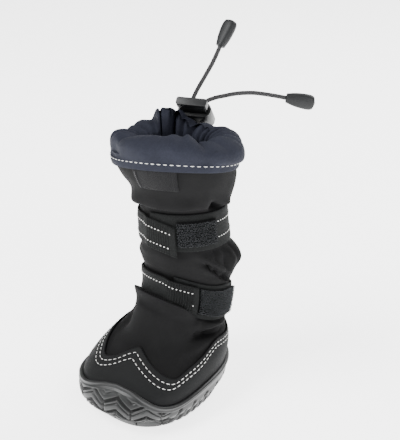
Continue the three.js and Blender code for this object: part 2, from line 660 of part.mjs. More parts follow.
function lockButton() {
  const stemLow = headLow - STEM_LENGTH;
  const slotTop = holeLevel + BUTTON_TRAVEL + CORD_HOLE / 2;
  const slots = holeSides.map((x) => box(CORD_HOLE, STEM_DEPTH + 1, stemLow - 1, slotTop, x));
  const stem = box(stemWidth, STEM_DEPTH, stemLow, headLow + 1).subtract(wasm.Manifold.union(slots));
  const head = roundedBlock(BUTTON_WIDTH, BUTTON_DEPTH, BUTTON_CHAMFER, headLow, -headLow, 1);
  return toGeometry(head.add(stem));
}

addPiece(lock, 'cord_lock_body', lockBody(), 0x3f4144, 0.45);
addPiece(lock, 'cord_lock_button', lockButton(), 0x3b3d41, 0.4);
lock.updateMatrixWorld(true);

// Drawcord: two tails that leave the collar, run through the lock and stand out stiffly. The routes are
// counted from the lock.
const CORD_ROUTES = {
  left: [[-9.4, 12.4, -4.2], [-9.5, 17, 1], [-8.5, 24, 8.5], [-7.3, 31, 16.5], [-6.8, 38.1, 25.4]],
  right: [[-1.2, 16.3, -3.5], [1.5, 20, -1.8], [6.1, 24.6, -0.6], [11.9, 30.3, 0.5],
    [19, 36.3, 0.6], [24.7, 40.5, -0.2], [30.9, 44.8, -1.4], [35.8, 48.1, -2.5]],
};

function cordCurve(x, route) {
  const start = new THREE.Vector3(x, -LOCK_DEPTH / 2 - CORD_TAIL, holeLevel);
  const length = LOCK_DEPTH + 2 * CORD_TAIL;
  const inside = [0, 0.5, 1].map((share) => start.clone().setY(start.y + share * length));
  const tail = route.map((place) => new THREE.Vector3(...place).add(lock.position));
  const points = [...inside.map((point) => lock.localToWorld(point)), ...tail];
  return new THREE.CatmullRomCurve3(points, false, 'centripetal');
}

function cordTube(curve) {
  const circle = new THREE.Shape();
  steps(0, 2 * PI, CORD_SIDES).slice(0, -1).forEach((angle, index) => {
    const [x, y] = [cos(angle) * CORD / 2, sin(angle) * CORD / 2];
    if (index === 0) circle.moveTo(x, y);
    else circle.lineTo(x, y);
  });
  const count = Math.round(curve.getLength() / (2 * CORD));
  return new THREE.ExtrudeGeometry(circle, { extrudePath: curve, steps: count, bevelEnabled: false });
}

// Cord end: a flattened moulded bell. along is a share of END_LENGTH, wide and thick are shares of
// the way from END_NECK to END_WIDTH and END_THICKNESS.
const END_SHAPE = [
  { along: 0, wide: 0, thick: 0 },
  { along: 0.10, wide: 0.12, thick: 0.25 },
  { along: 0.45, wide: 0.70, thick: 0.85 },
  { along: 0.72, wide: 1.00, thick: 1.00 },
  { along: 0.90, wide: 0.80, thick: 0.75 },
  { along: 0.98, wide: 0.20, thick: 0.10 },
];

function cordEnd() {
  const sections = ringTurns(12).map((turn) => {
    const angle = radians(turn);
    const rim = END_SHAPE.map((row) => {
      const wide = END_NECK + (END_WIDTH - END_NECK) * row.wide;
      const thick = END_NECK + (END_THICKNESS - END_NECK) * row.thick;
      return new THREE.Vector3(cos(angle) * wide / 2, sin(angle) * thick / 2, row.along * END_LENGTH);
    });
    return [new THREE.Vector3(), ...rim, new THREE.Vector3(0, 0, END_LENGTH)];
  });
  return sweep(sections, true);
}

['left', 'right'].forEach((side, index) => {
  const curve = cordCurve(holeSides[index], CORD_ROUTES[side]);
  addPiece(boot, `drawcord_${side}`, cordTube(curve), 0x3a3b3c, 0.8);
  const along = curve.getTangent(1);
  const wide = new THREE.Vector3(0, 0, 1).cross(along).normalize();
  if (side === 'right') wide.cross(along).negate();
  const thick = along.clone().cross(wide);
  const end = new THREE.Group();
  end.setRotationFromMatrix(new THREE.Matrix4().makeBasis(wide, thick, along));
  end.position.copy(curve.getPoint(1)).addScaledVector(along, SEAT);
  boot.add(end);
  addPiece(end, `cord_end_${side}`, cordEnd(), 0x45484b, 0.5);
});

export default boot;
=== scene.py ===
import bmesh
import bpy
import numpy as np
from mathutils import Matrix, Vector


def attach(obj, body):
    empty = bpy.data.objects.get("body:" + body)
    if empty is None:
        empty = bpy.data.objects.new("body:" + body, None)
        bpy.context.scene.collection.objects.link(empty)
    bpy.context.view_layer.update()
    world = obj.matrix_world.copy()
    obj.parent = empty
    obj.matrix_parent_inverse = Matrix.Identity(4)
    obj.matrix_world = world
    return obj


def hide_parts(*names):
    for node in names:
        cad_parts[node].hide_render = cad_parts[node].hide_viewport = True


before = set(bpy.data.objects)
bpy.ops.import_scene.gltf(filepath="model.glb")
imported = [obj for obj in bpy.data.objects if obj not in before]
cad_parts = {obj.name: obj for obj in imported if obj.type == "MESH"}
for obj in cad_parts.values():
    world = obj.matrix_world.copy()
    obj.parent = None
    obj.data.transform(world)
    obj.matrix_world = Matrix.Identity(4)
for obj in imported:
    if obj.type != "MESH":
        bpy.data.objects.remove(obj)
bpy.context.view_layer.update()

# Outsole: a cup of black moulded rubber with a raised toe bumper cut into chevron blocks, slanted lugs
# along both sides, a low arch and a thin bead round its lip. It is bonded to the foot of the upper.
# A turn is counted in degrees round the boot: 0 at the toe, 90 at +X, 180 at the heel.
FOOT_LENGTH, FOOT_WIDTH, SHAFT_HEIGHT = 0.096, 0.074, 0.157
UPPER_WALL, SEAT = 0.002, 0.0003
SOLE_FLOOR, SOLE_WALL, SOLE_TUCK, TOE_SPRING, TUCK_HEIGHT = 0.005, 0.0028, 0.0006, 0.0026, 0.008
LIP_HEIGHT, RAND_HEIGHT = 0.027, 0.0413
ARCH_RISE, ARCH_LENGTH, ARCH_PLACE = 0.0012, 0.018, 0.12 * FOOT_LENGTH
TAB_WIDTH, STRAP_WIDTH, STRAP_SINK = 0.023, 0.019, 0.0008
TURNS = np.arange(-180, 180, 0.75)[:, None]

LEVELS = {
    "up": [0.032, 0.076, 0.140, 0.191, 0.236, 0.274, 0.306, 0.338, 0.408, 0.484, 0.548, 0.611, 0.713,
           0.803, 0.854, 0.904, 0.955, 1.020],
    "toe": [0.405, 0.480, 0.462, 0.372, 0.270, 0.167, 0.083, 0.015, -0.026, -0.016, 0.004, 0.018, 0.022,
            0.022, 0.052, 0.104, 0.135, 0.142],
    "heel": [0.415, 0.465, 0.503, 0.526, 0.531, 0.529, 0.531, 0.541, 0.552, 0.552, 0.547, 0.533, 0.508,
             0.500, 0.502, 0.504, 0.504, 0.508],
    "half": [0.420, 0.475, 0.500, 0.480, 0.432, 0.399, 0.384, 0.372, 0.365, 0.369, 0.373, 0.366, 0.354,
             0.358, 0.397, 0.449, 0.489, 0.508],
    "lean": [0, 0, 0, 0.007, 0.016, 0.027, 0.034, 0.041, 0.054, 0.061, 0.068, 0.074, 0.068, 0.061, 0.061,
             0.054, 0.047, 0.047],
    "front": [2.5, 2.6, 2.5, 2.4, 2.2, 2.2, 2.1, 2.1, 2.1, 2.1, 2.1, 2.1, 2.1, 2.1, 2.1, 2.1, 2.1, 2.1],
    "back": [2.3, 2.3, 2.2, 2.2, 2.2, 2.1, 2.1, 2.1, 2.1, 2.1, 2.1, 2.1, 2.1, 2.1, 2.1, 2.1, 2.1, 2.1],
    "near": [0, 0, 0, 0, 0.003, 0.010, 0.025, 0.038, 0.045, 0.038, 0.025, 0.013, 0.010, 0.013, 0.025,
             0.038, 0.051, 0.057],
    "far": [0, 0, 0, 0, -0.003, -0.010, -0.020, -0.030, -0.040, -0.035, -0.020, -0.010, -0.010, 0, 0,
            0.006, 0.013, 0.020],
    "bearing": [0, 0, 0, 0, 0, 0, 0, 0, 0, 0, 10, 20, 30, 35, 35, 35, 35, 35],
}
FOLDS = [  # turn, up, wide, tall, slant, reach
    (128, 0.560, 42, 0.055, -0.05, 0.075), (85, 0.500, 30, 0.022, -0.10, -0.022),
    (-30, 0.347, 48, 0.026, -0.02, 0.050), (85, 0.290, 34, 0.018, 0.02, -0.030),
    (96, 0.325, 34, 0.024, 0.02, 0.026), (20, 0.815, 75, 0.034, 0.00, 0.024),
    (-120, 0.545, 45, 0.050, 0.05, 0.050), (-90, 0.320, 34, 0.024, -0.02, 0.024),
    (180, 0.840, 60, 0.040, 0.00, 0.018),
]
EDGES = {
    "turn": [-180, -150, -120, -90, -62, -40, -25, -12, 3, 12, 22, 34, 46, 56, 66, 80, 94, 108, 130, 155,
            180],
    "lip": [0.815, 0.789, 0.759, 0.741, 0.752, 0.785, 0.822, 0.896, 0.996, 0.989, 0.952, 0.859, 0.748,
           0.689, 0.670, 0.719, 0.778, 0.778, 0.759, 0.785, 0.815],
    "rand": [0.935, 0.901, 0.906, 0.944, 0.910, 0.857, 0.818, 0.877, 1.000, 0.969, 0.913, 0.840, 0.775,
            0.746, 0.797, 0.862, 0.959, 0.935, 0.881, 0.901, 0.935],
}
STRAPS = {
    "upper": {"height": 0.111, "sway": 0.002, "bearing": 60, "stand": 0, "droop": 0.0052,
              "tab_from": -9, "strap_to": 27, "tape_to": 81, "tape_width": 0.0155,
              "rows": [(1, -174, 26.4), (-1, -174, 26.4)]},
    "lower": {"height": 0.063, "sway": 0.0055, "bearing": -10, "stand": 0.0012, "droop": 0,
              "tab_from": 18, "strap_to": 50, "tape_to": 117, "tape_width": 0.018,
              "rows": [(1, -174, 49.4), (-1, -174, -62), (-1, 40, 49.4)]},
}


def ease(value):
    """Smooth step: 3 share² - 2 share³, with the share held between 0 and 1."""
    share = np.clip(value, 0, 1)
    return share * share * (3 - 2 * share)


def gauss(value):
    """Bell curve: e to the power of minus the value squared."""
    return np.exp(-value * value)


def wrap(turn):
    """The same turn between -180 and 180 degrees."""
    return (turn + 180) % 360 - 180


def read(table, column, key, where):
    """Smooth value of a table's column: a cubic between two rows, whose slope at a row is that of the
    line between the row's neighbours."""
    at, value = np.array(table[column], float), np.array(table[key], float)
    rows = np.arange(len(at))
    ahead, behind = np.minimum(rows + 1, len(at) - 1), np.maximum(rows - 1, 0)
    slope = (value[ahead] - value[behind]) / (at[ahead] - at[behind])
    row = np.clip(np.searchsorted(at, where, side="right") - 1, 0, len(at) - 2)
    span = at[row + 1] - at[row]
    t = np.clip((where - at[row]) / span, 0, 1)
    u = 1 - t
    ends = value[row] * u * u * (1 + 2 * t) + value[row + 1] * t * t * (3 - 2 * t)
    return ends + span * t * u * (slope[row] * u - slope[row + 1] * t)


def strap_middle(strap, turn):
    """Height of a strap's middle line: its height plus its sway times the cosine from its bearing."""
    return strap["height"] + strap["sway"] * np.cos(np.radians(turn - strap["bearing"]))


def slack(turn, z):
    """How free the cloth is: 0 under a strap, rising smoothly to 1 a quarter of a tab beyond its edge."""
    free = 1
    for strap in STRAPS.values():
        away = np.abs(z - strap_middle(strap, turn)) - TAB_WIDTH / 2
        free = free * ease(away / (TAB_WIDTH / 4))
    return free


def fold(turn, z):
    """Sum of the folds, each a bell round the boot times a bell up it, less the sink under the straps."""
    bulge = 0
    for at, up, wide, tall, slant, reach in FOLDS:
        aside = wrap(turn - at)
        above = z / SHAFT_HEIGHT - up - slant * aside / 90
        bulge = bulge + reach * FOOT_WIDTH * gauss(aside / wide) * gauss(above / tall)
    free = slack(turn, z)
    return bulge * free - STRAP_SINK * (1 - free)


def form(turn, z):
    """A superellipse at each level: width times |sin|^(2/n), length times |cos|^(2/n), raised on the side
    that its bearing names by a lift times cos^1.5."""
    level = {key: read(LEVELS, "up", key, z / SHAFT_HEIGHT) for key in LEVELS}
    sine, cosine = np.sin(np.radians(turn)), np.cos(np.radians(turn))
    toe, heel = level["toe"] * FOOT_LENGTH, level["heel"] * FOOT_LENGTH
    power = 2 / np.where(cosine > 0, level["front"], level["back"])
    across = np.sign(sine) * np.abs(sine) ** power
    along = np.sign(cosine) * np.abs(cosine) ** power
    facing = np.cos(np.radians(turn - level["bearing"]))
    lift = np.where(facing > 0, level["near"], level["far"]) * np.abs(facing) ** 1.5
    x = FOOT_WIDTH * (level["lean"] + level["half"] * across)
    y = (heel - toe) / 2 - (heel + toe) / 2 * along
    return np.stack([x, y, z + lift * SHAFT_HEIGHT], -1)


def outward(turn, z):
    """Unit normal of the form: the step round it crossed with the step up it."""
    low, high = LEVELS["up"][0] * SHAFT_HEIGHT, LEVELS["up"][-1] * SHAFT_HEIGHT
    around = form(turn + 1, z) - form(turn - 1, z)
    rise = form(turn, np.minimum(z + 0.001, high)) - form(turn, np.maximum(z - 0.001, low))
    normal = np.cross(around, rise)
    return normal / np.linalg.norm(normal, axis=-1, keepdims=True)


def skin(turn, z, off=0):
    """A point at a distance outside the boot's face: form + normal times (fold + off)."""
    turn, z, off = np.broadcast_arrays(turn, z, off)
    return form(turn, z) + outward(turn, z) * (fold(turn, z) + off)[..., None]


def lip(turn):
    """Height of the sole's lip: its share from the table of edges times the lip's height."""
    return LIP_HEIGHT * read(EDGES, "turn", "lip", wrap(turn))


def rand_edge(turn):
    """Height of the rand's wavy top edge: its share from the table times the rand's height."""
    return RAND_HEIGHT * read(EDGES, "turn", "rand", wrap(turn))


def loft(name, sections, ring=True, cut_shades=None):
    """A closed mesh over sections that are closed loops of equal length. A ring joins its last section to
    its first; a strip ends in sections pressed flat on their own middle. Its UV map counts millimetres
    round (u) and along the section (v). Optional numbers, one for each point, are stored as a point
    attribute, which the sole uses to paint shade into its grooves."""
    if not ring:
        flat = (sections[[0, -1]] + sections[[0, -1], ::-1]) / 2
        sections = np.concatenate([flat[:1], sections, flat[1:]])
        if cut_shades is not None:
            cut_shades = np.concatenate([cut_shades[:1], cut_shades, cut_shades[-1:]])
    count, size = sections.shape[:2]
    i, j = np.meshgrid(np.arange(count if ring else count - 1), np.arange(size), indexing="ij")
    corners = np.stack([[i, j], [i + 1, j], [i + 1, j + 1], [i, j + 1]])
    corners = corners.transpose(2, 3, 0, 1).reshape(-1, 4, 2)
    looped = np.concatenate([sections, sections[:1]])
    looped = np.concatenate([looped, looped[:, :1]], 1)
    u = np.append(0, np.cumsum(np.linalg.norm(np.diff(looped, axis=0), axis=-1).mean(1)))
    v = np.append(0, np.cumsum(np.linalg.norm(np.diff(looped, axis=1), axis=-1).mean(0)))
    points = sections.reshape(-1, 3)
    faces = corners[..., 0] % count * size + corners[..., 1] % size
    a, b, c, d = (points[faces[:, k]] for k in range(4))
    if np.sum(a * np.cross(b, c)) + np.sum(a * np.cross(c, d)) < 0:
        corners, faces = corners[:, ::-1], faces[:, ::-1]
    mesh = bpy.data.meshes.new(name)
    mesh.from_pydata(points.tolist(), [], faces.tolist())
    grid = np.stack([u[corners[..., 0]], v[corners[..., 1]]], -1) * 1000
    mesh.uv_layers.new(name="cloth").data.foreach_set("uv", grid.ravel())
    if cut_shades is not None:
        mesh.attributes.new("cut_shade", "FLOAT", "POINT").data.foreach_set("value", cut_shades.ravel())
    return weld(name, mesh)


def weld(name, mesh):
    """A smooth object from a mesh, with its doubled points merged."""
    work = bmesh.new()
    work.from_mesh(mesh)
    bmesh.ops.remove_doubles(work, verts=work.verts, dist=1e-6)
    work.to_mesh(mesh)
    work.free()
    mesh.shade_smooth()
    made = bpy.data.objects.new(name, mesh)
    bpy.context.scene.collection.objects.link(made)
    return made


class Shade:
    """A number, vector or colour in a material. Arithmetic adds Math nodes, or Vector Math for vectors."""

    def __init__(self, tree, socket=None):
        self.tree, self.socket = tree, socket

    def node(self, kind, settings=None, inputs=None, output=0):
        """Adds a node: its settings first, then the values or links of its sockets."""
        node = self.tree.nodes.new("ShaderNode" + kind)
        for key, setting in (settings or {}).items():
            if key == "stops":
                ramp = node.color_ramp
                for stop, (place, shade) in zip([ramp.elements[0], ramp.elements[1]], setting):
                    stop.position, stop.color = place, shade
            else:
                setattr(node, key, setting)
        for key, value in (inputs or {}).items():
            if isinstance(value, Shade):
                self.tree.links.new(value.socket, node.inputs[key])
            else:
                node.inputs[key].default_value = value
        return Shade(self.tree, node.outputs[output] if node.outputs else None)

    def math(self, operation, *others):
        terms = (self, *others)
        kind = "Math"
        if any(isinstance(term, Shade) and term.socket.type == "VECTOR" for term in terms):
            kind = "VectorMath"
            terms = [term if isinstance(term, Shade) or np.ndim(term) else (term,) * 3 for term in terms]
        return self.node(kind, {"operation": operation}, dict(enumerate(terms)))

    def __add__(self, other):
        return self.math("ADD", other)

    def __sub__(self, other):
        return self.math("SUBTRACT", other)

    def __mul__(self, other):
        return self.math("MULTIPLY", other)

    def __rsub__(self, other):
        return self * -1 + other

    __radd__, __rmul__ = __add__, __mul__

    def sine(self):
        return self.math("SINE")

    def mix(self, low, high):
        """A colour between two, by this number."""
        return self.node("Mix", {"data_type": "RGBA"}, {0: self, 6: low, 7: high}, 2)

    def between(self, low, high):
        """This number as a smooth share of the way from low to high."""
        return self.node("MapRange", {"interpolation_type": "SMOOTHSTEP"}, {0: self, 1: low, 2: high})

    def noise(self, scale, detail=2.0, rough=0.5):
        """Noise at this place, scale features to a unit."""
        return self.node("TexNoise", None, {"Vector": self, "Scale": scale, "Detail": detail,
                                            "Roughness": rough})

    def part(self, index):
        return self.node("SeparateXYZ", None, {0: self}, index)

    def surface(self, colour, roughness, height=None, relief=0.0001, **fixed):
        """The finished shader, whose height is in shares of the relief in metres."""
        inputs = {"Base Color": colour, "Roughness": roughness}
        inputs.update({key.replace("_", " ").title().replace("Ior", "IOR"): fixed[key] for key in fixed})
        if height is not None:
            inputs["Normal"] = self.node("Bump", None, {"Height": height, "Distance": relief})
        self.node("OutputMaterial", None, {0: self.node("BsdfPrincipled", None, inputs)})


def start(name):
    """A new material: itself, its places in the frame in metres and its UV map in millimetres."""
    made = bpy.data.materials.new(name)
    made.use_nodes = True
    made.node_tree.nodes.clear()
    root = Shade(made.node_tree)
    return made, root.node("TexCoord", output=3), root.node("UVMap", {"uv_map": "cloth"})


def fit(piece, finish, slot, *nodes, body="boot"):
    """Gives a piece its finish and its body, and hides the CAD nodes that it stands for. Its slot is not
    used.
    """
    piece.data.materials.clear()
    piece.data.materials.append(finish)
    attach(piece, body)
    if nodes:
        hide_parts(*nodes)


def sole_face(turn, z):
    """The sole's outer face: a wall's thickness off the upper, drawn in below the tuck height with the
    square of the depth, and more at the toe."""
    below = np.clip(1 - z / TUCK_HEIGHT, 0, 1)
    facing = np.maximum(np.cos(np.radians(turn)), 0)
    tuck = SOLE_TUCK + TOE_SPRING * facing**2
    face = skin(turn, np.maximum(z, LEVELS["up"][0] * SHAFT_HEIGHT), SEAT + SOLE_WALL - tuck * below**2)
    face[..., 2] = z + (face[..., 2] - z) * ease(z / TUCK_HEIGHT - 1)
    return face


def trough(distance, half, slope):
    """1 within half a groove's width of its line, falling smoothly to 0 over the slope."""
    return 1 - ease((np.abs(distance) - half) / slope)


CHEVRON_PITCH, CHEVRON_RISE, CHEVRON_SPACING, CHEVRON_ROWS = 0.0085, 0.0044, 0.006, 4
CHEVRON_LOWEST, CHEVRON_SAG, CHEVRON_REACH = 0.0062, 0.0022, 0.031
SIDE_PITCH, LUG_SLANT = 0.06 * FOOT_LENGTH, 0.6
MAIN_CUT_HEIGHT, SIDE_CUT_HEIGHT, HEEL_CUT_HEIGHT = 0.0150, 0.0128, 0.012
TREAD_ROWS, TREAD_BEND, TREAD_DEPTH = 7, 0.005, 0.0018
TREAD_START, TREAD_PITCH = -0.4 * FOOT_LENGTH, 0.76 * FOOT_LENGTH / (TREAD_ROWS - 1)
BUMPER_HALF, BUMPER_DEPTH, SIDE_DEPTH, LUG_PROUD = 0.040, 0.0016, 0.0023, 0.0009


def bumper_grooves(s, z):
    """Chevron rows round the toe: zigzags of one pitch, one spacing apart, that sag with the square of the
    way round, with cuts across each band at every other corner and a fine sipe along its middle."""
    corner = np.abs((s / CHEVRON_PITCH + 1) % 2 - 1)
    sag = CHEVRON_SAG * (s / CHEVRON_REACH) ** 2
    band = (z - CHEVRON_LOWEST - CHEVRON_RISE * corner + sag) / CHEVRON_SPACING
    row, share = np.round(band), band - np.floor(band)
    inside = (row >= 0) * (row < CHEVRON_ROWS)
    lines = trough((band - row) * CHEVRON_SPACING * 0.93, 0.0004, 0.0005) * inside
    aside = ((s / CHEVRON_PITCH + np.floor(band)) % 2 - 1) * CHEVRON_PITCH
    cuts = trough(aside, 0.0002, 0.0005) * (band > -0.9) * (band < CHEVRON_ROWS - 0.4)
    between = (band > -0.9) * (band < CHEVRON_ROWS - 1)
    sipes = trough((share - 0.62) * CHEVRON_SPACING, 0.0001, 0.0004) * between
    return np.maximum(np.maximum(lines, cuts), 0.55 * sipes)


def side_grooves(y, z):
    """Slanted cuts up the side, one pitch apart from a fifth of the foot ahead of the middle, every second
    one wider, deeper and taller."""
    place = (y - LUG_SLANT * z + 0.2 * FOOT_LENGTH) / SIDE_PITCH
    number = np.round(place)
    main = number % 2 == 0
    tall = np.where(main, MAIN_CUT_HEIGHT, SIDE_CUT_HEIGHT)
    cut = trough((place - number) * SIDE_PITCH, np.where(main, 0.0008, 0.0005), 0.0005)
    return cut * np.where(main, 1, 0.7) * ease((tall - z) / 0.001)


def heel_grooves(x, z):
    """Upright cuts round the back of the heel, one pitch apart, none in the very middle."""
    place = x / SIDE_PITCH + 0.5
    cut = trough((place - np.round(place)) * SIDE_PITCH, 0.0006, 0.0005)
    return 0.8 * cut * ease((HEEL_CUT_HEIGHT - z) / 0.001)


def tread_grooves(x, y):
    """Chevron cuts across the tread, one pitch apart, further back in the middle than at the sides by the
    tread's bend."""
    place = (y - TREAD_BEND * (1 - np.abs(x) / (FOOT_WIDTH / 2)) - TREAD_START) / TREAD_PITCH
    return trough((place - np.clip(np.round(place), 0, TREAD_ROWS - 1)) * TREAD_PITCH, 0.0008, 0.0006)


rise = np.concatenate([np.linspace(0, 0.97, 96), [0.98, 0.985, 0.99, 0.995, 1]])[None, :]
wall_z = rise * lip(TURNS)
wall = sole_face(TURNS, wall_z)
edge = sole_face(TURNS, np.zeros((1, 1)))
spread = np.linalg.norm(np.diff(sole_face(TURNS, np.full((1, 1), TUCK_HEIGHT))[:, 0], axis=0), axis=1)
arc = np.append(0, np.cumsum(spread))
arc = (arc - np.interp(0, TURNS[:, 0], arc))[:, None]
below = lip(TURNS) - wall_z
toe_share = ease((BUMPER_HALF - np.abs(arc)) / 0.003)
heel_share = ease((np.abs(TURNS) - 138) / 6)
around = (1 - heel_share) * side_grooves(wall[..., 1], wall_z)
around = around + heel_share * heel_grooves(wall[..., 0], wall_z)
cuts = np.maximum(toe_share * bumper_grooves(arc, wall_z), (1 - toe_share) * around)
cuts = cuts * ease((below - 0.0025) / 0.0015) * ease(wall_z / 0.0015 + 0.3)
bead = 0.0007 * gauss((below - 0.0007) / 0.0005) + 0.0003 * gauss((below - 0.0026) / 0.0005)
proud = LUG_PROUD * (1 - toe_share) * ease((0.016 - wall_z) / 0.004) * ease(wall_z / 0.003)
deep = (SIDE_DEPTH - (SIDE_DEPTH - BUMPER_DEPTH) * toe_share) * cuts
wall = wall + outward(TURNS, np.maximum(wall_z, 0.006)) * (bead + proud - deep)[..., None]
share = np.linspace(0, 1, 42)[None, :, None]
bottom = edge * share
hollow = ARCH_RISE * np.clip(1 - ((bottom[..., 1] - ARCH_PLACE) / (ARCH_LENGTH / 2)) ** 2, 0, 1)
scored = tread_grooves(bottom[..., 0], bottom[..., 1]) * ease((1 - share[..., 0]) * 20)
bottom[..., 2] = np.maximum(hollow, TREAD_DEPTH * scored)
inner_z = np.linspace(1, 0, 8)[None, :] * (lip(TURNS) - SOLE_FLOOR) + SOLE_FLOOR
inner = skin(TURNS, inner_z, SEAT)
inner[:, -1, 2] = SOLE_FLOOR
centre = np.broadcast_to([0, 0, SOLE_FLOOR], inner[:, :1].shape)
sections = np.concatenate([bottom[:, :-1], wall, inner, centre], 1)
# How deep each point of the tread and the wall lies in a groove, stored on the sole to paint shade into the
# cuts.
cut_shades = np.zeros(sections.shape[:2])
cut_shades[:, : scored.shape[1] - 1 + cuts.shape[1]] = np.concatenate([scored[:, :-1], cuts], 1)
outsole = loft("sole_rubber_cup", sections, cut_shades=cut_shades)

moulded_rubber, place, cloth = start("moulded_rubber")
dusty = place.noise(60, 3)
grain = place.noise(2600, 2)
# Painted shade: the rubber goes near black (0.003) as far as a point lies in a groove, standing for the shade
# in the cuts. The same share also roughens the grooves.
cut_mask_and_shade = place.node("Attribute", {"attribute_name": "cut_shade"}, output=2)
rubber = dusty.mix((0.0075, 0.0080, 0.0082, 1), (0.0135, 0.0143, 0.0143, 1))
place.surface(cut_mask_and_shade.mix(rubber, (0.003, 0.0032, 0.0032, 1)), 0.30 + 0.18 * dusty + 0.3 * cut_mask_and_shade,
              grain * 0.5 + dusty, 0.00006, specular_ior_level=0.4)
fit(outsole, moulded_rubber, "sole_rubber", "outsole")

# Upper: one bag of black bonded fabric with a soft lining, cut to the last and glued down into the sole.
# It is slack, so it bellies out over each strap and creases where the straps pull it in.
HEM_HEIGHT, HEM_OVERLAP = 0.150, 0.006
SHAFT_TOP = HEM_HEIGHT + HEM_OVERLAP
OVERLAP_OUT, OVERLAP_UP = 0.0050, 0.0042
CREASES = [  # turn, height, degrees wide, metres tall, rise over 90 degrees, metres out
    (112, 0.1370, 36, 0.0110, 0.0, 0.0022), (20, 0.1290, 75, 0.0036, 0.0, 0.0014),
    (0, 0.0500, 38, 0.0040, -0.003, 0.0012), (-54, 0.0450, 15, 0.0055, 0, -0.0030),
    (-36, 0.0435, 30, 0.0030, -0.004, -0.0010), (-80, 0.0880, 30, 0.0045, 0.010, 0.0012),
    (-60, 0.0950, 26, 0.0030, -0.010, -0.0010), (-110, 0.0450, 30, 0.0025, 0.006, -0.0018),
    (170, 0.0500, 34, 0.0030, -0.006, -0.0012), (200, 0.0880, 30, 0.0035, 0.010, -0.0012),
    (205, 0.1300, 26, 0.0035, 0.008, 0.0010), (60, 0.0910, 20, 0.0030, -0.020, -0.0007),
]
RIPPLES = [  # turn, height, degrees wide, metres tall, rise over 90 degrees, metres out
    (88, 0.0804, 20, 0.0020, -0.034, -0.0056), (69, 0.0872, 7, 0.0026, -0.034, -0.0030),
    (84, 0.0868, 22, 0.0030, -0.034, 0.0026), (112, 0.0890, 10, 0.0060, -0.010, 0.0012),
    (88, 0.0440, 26, 0.0018, -0.010, -0.0056), (64, 0.0462, 9, 0.0024, -0.010, -0.0022),
    (90, 0.0490, 26, 0.0030, -0.010, 0.0030), (72, 0.0405, 18, 0.0020, 0.004, 0.0010),
    (84, 0.1262, 12, 0.0032, -0.026, -0.0068), (66, 0.1330, 10, 0.0040, -0.030, 0.0018),
    (100, 0.1275, 9, 0.0036, -0.020, 0.0022), (116, 0.1262, 4.0, 0.0050, 0, -0.0014),
    (90, 0.0900, 3.0, 0.0090, 0, -0.0018), (99, 0.0890, 3.6, 0.0080, 0, 0.0014),
    (108, 0.0930, 3.0, 0.0080, 0, -0.0013), (77, 0.0970, 3.2, 0.0050, 0, -0.0012),
    (-28, 0.1305, 22, 0.0042, 0.006, 0.0024), (-38, 0.1245, 16, 0.0018, 0.004, -0.0026),
    (-58, 0.1280, 3.0, 0.0090, 0, -0.0010), (58, 0.0540, 4.0, 0.0060, 0, 0.0007),
    (150, 0.0930, 3.5, 0.0100, 0, -0.0011), (215, 0.0950, 4.0, 0.0090, 0, 0.0010),
    (-100, 0.1270, 3.5, 0.0080, 0, -0.0010), (-120, 0.0480, 3.5, 0.0060, 0, -0.0010),
]


def creases(turn, z):
    """Bells and cusps on top of the folds: each crease a bell round and up the boot that rises or falls
    along it, each ripple a narrow upright one. All fade under the straps, the rand and the hem."""
    fade = ease((z - rand_edge(turn)) / 0.0025) * ease((HEM_HEIGHT + 0.001 - z) / 0.006)
    beside = 1
    for strap in STRAPS.values():
        beside = beside * ease((np.abs(z - strap_middle(strap, turn)) - TAB_WIDTH / 2) / 0.0014)
    soft, tight = 0, 0
    for at, height, wide, tall, slant, reach in CREASES:
        aside = wrap(turn - at)
        soft = soft + reach * gauss(aside / wide) * gauss((z - height - slant * aside / 90) / tall)
    for at, height, wide, tall, slant, reach in RIPPLES:
        aside = wrap(turn - at)
        tight = tight + reach * gauss(aside / wide) * gauss((z - height - slant * aside / 90) / tall)
    angle = np.radians(turn)
    soft = soft + 0.00022 * np.sin(5 * angle + 190 * z) + 0.00018 * np.sin(9 * angle - 260 * z + 2)
    return fade * (soft * slack(turn, z) + tight * beside)


def overlap(turn, z):
    """The slack vamp flops over the lower edge of the ankle strap in front: a bell just under the edge,
    from turn -66 to 56, that is both how far out and how far up the cloth goes."""
    under = strap_middle(STRAPS["lower"], turn) - STRAP_WIDTH / 2 - z
    return gauss((under - 0.0020) / 0.0024) * ease((turn + 66) / 16) * ease((56 - turn) / 26)


turns = np.arange(-180, 180, 1.0)[:, None]
heights = np.concatenate([np.linspace(0.0053, 0.024, 5), np.linspace(0.025, 0.0495, 34),
                          np.linspace(0.050, 0.0615, 38), np.linspace(0.062, SHAFT_TOP, 124)])[None, :]
lap = overlap(turns, heights)
face = skin(turns, heights, creases(turns, heights) + OVERLAP_OUT * lap)
face[..., 2] += OVERLAP_UP * lap
face[:, 0, 2] = SOLE_FLOOR + SEAT
back = skin(turns, heights[:, ::8], -UPPER_WALL + creases(turns, heights[:, ::8]))
back[:, 0, 2] = SOLE_FLOOR + SEAT
upper = loft("upper_bonded_fabric", np.concatenate([face, back[:, ::-1]], 1))

bonded_fabric, place, cloth = start("bonded_fabric")
thread = (cloth.part(0) * 9.0).sine() * (cloth.part(1) * 9.0).sine()
soft = place.noise(45, 3)
fuzz = place.noise(2200, 2)
tone = (soft * 0.6 + fuzz * 0.4).between(0.3, 0.75)
place.surface(tone.mix((0.0062, 0.0062, 0.0064, 1), (0.0100, 0.0100, 0.0104, 1)), 0.75 + 0.12 * fuzz,
              thread * 0.3 + fuzz * 0.5 + soft * 2, 0.00009, specular_ior_level=0.06)
fit(upper, bonded_fabric, "shaft_fabric", "upper")

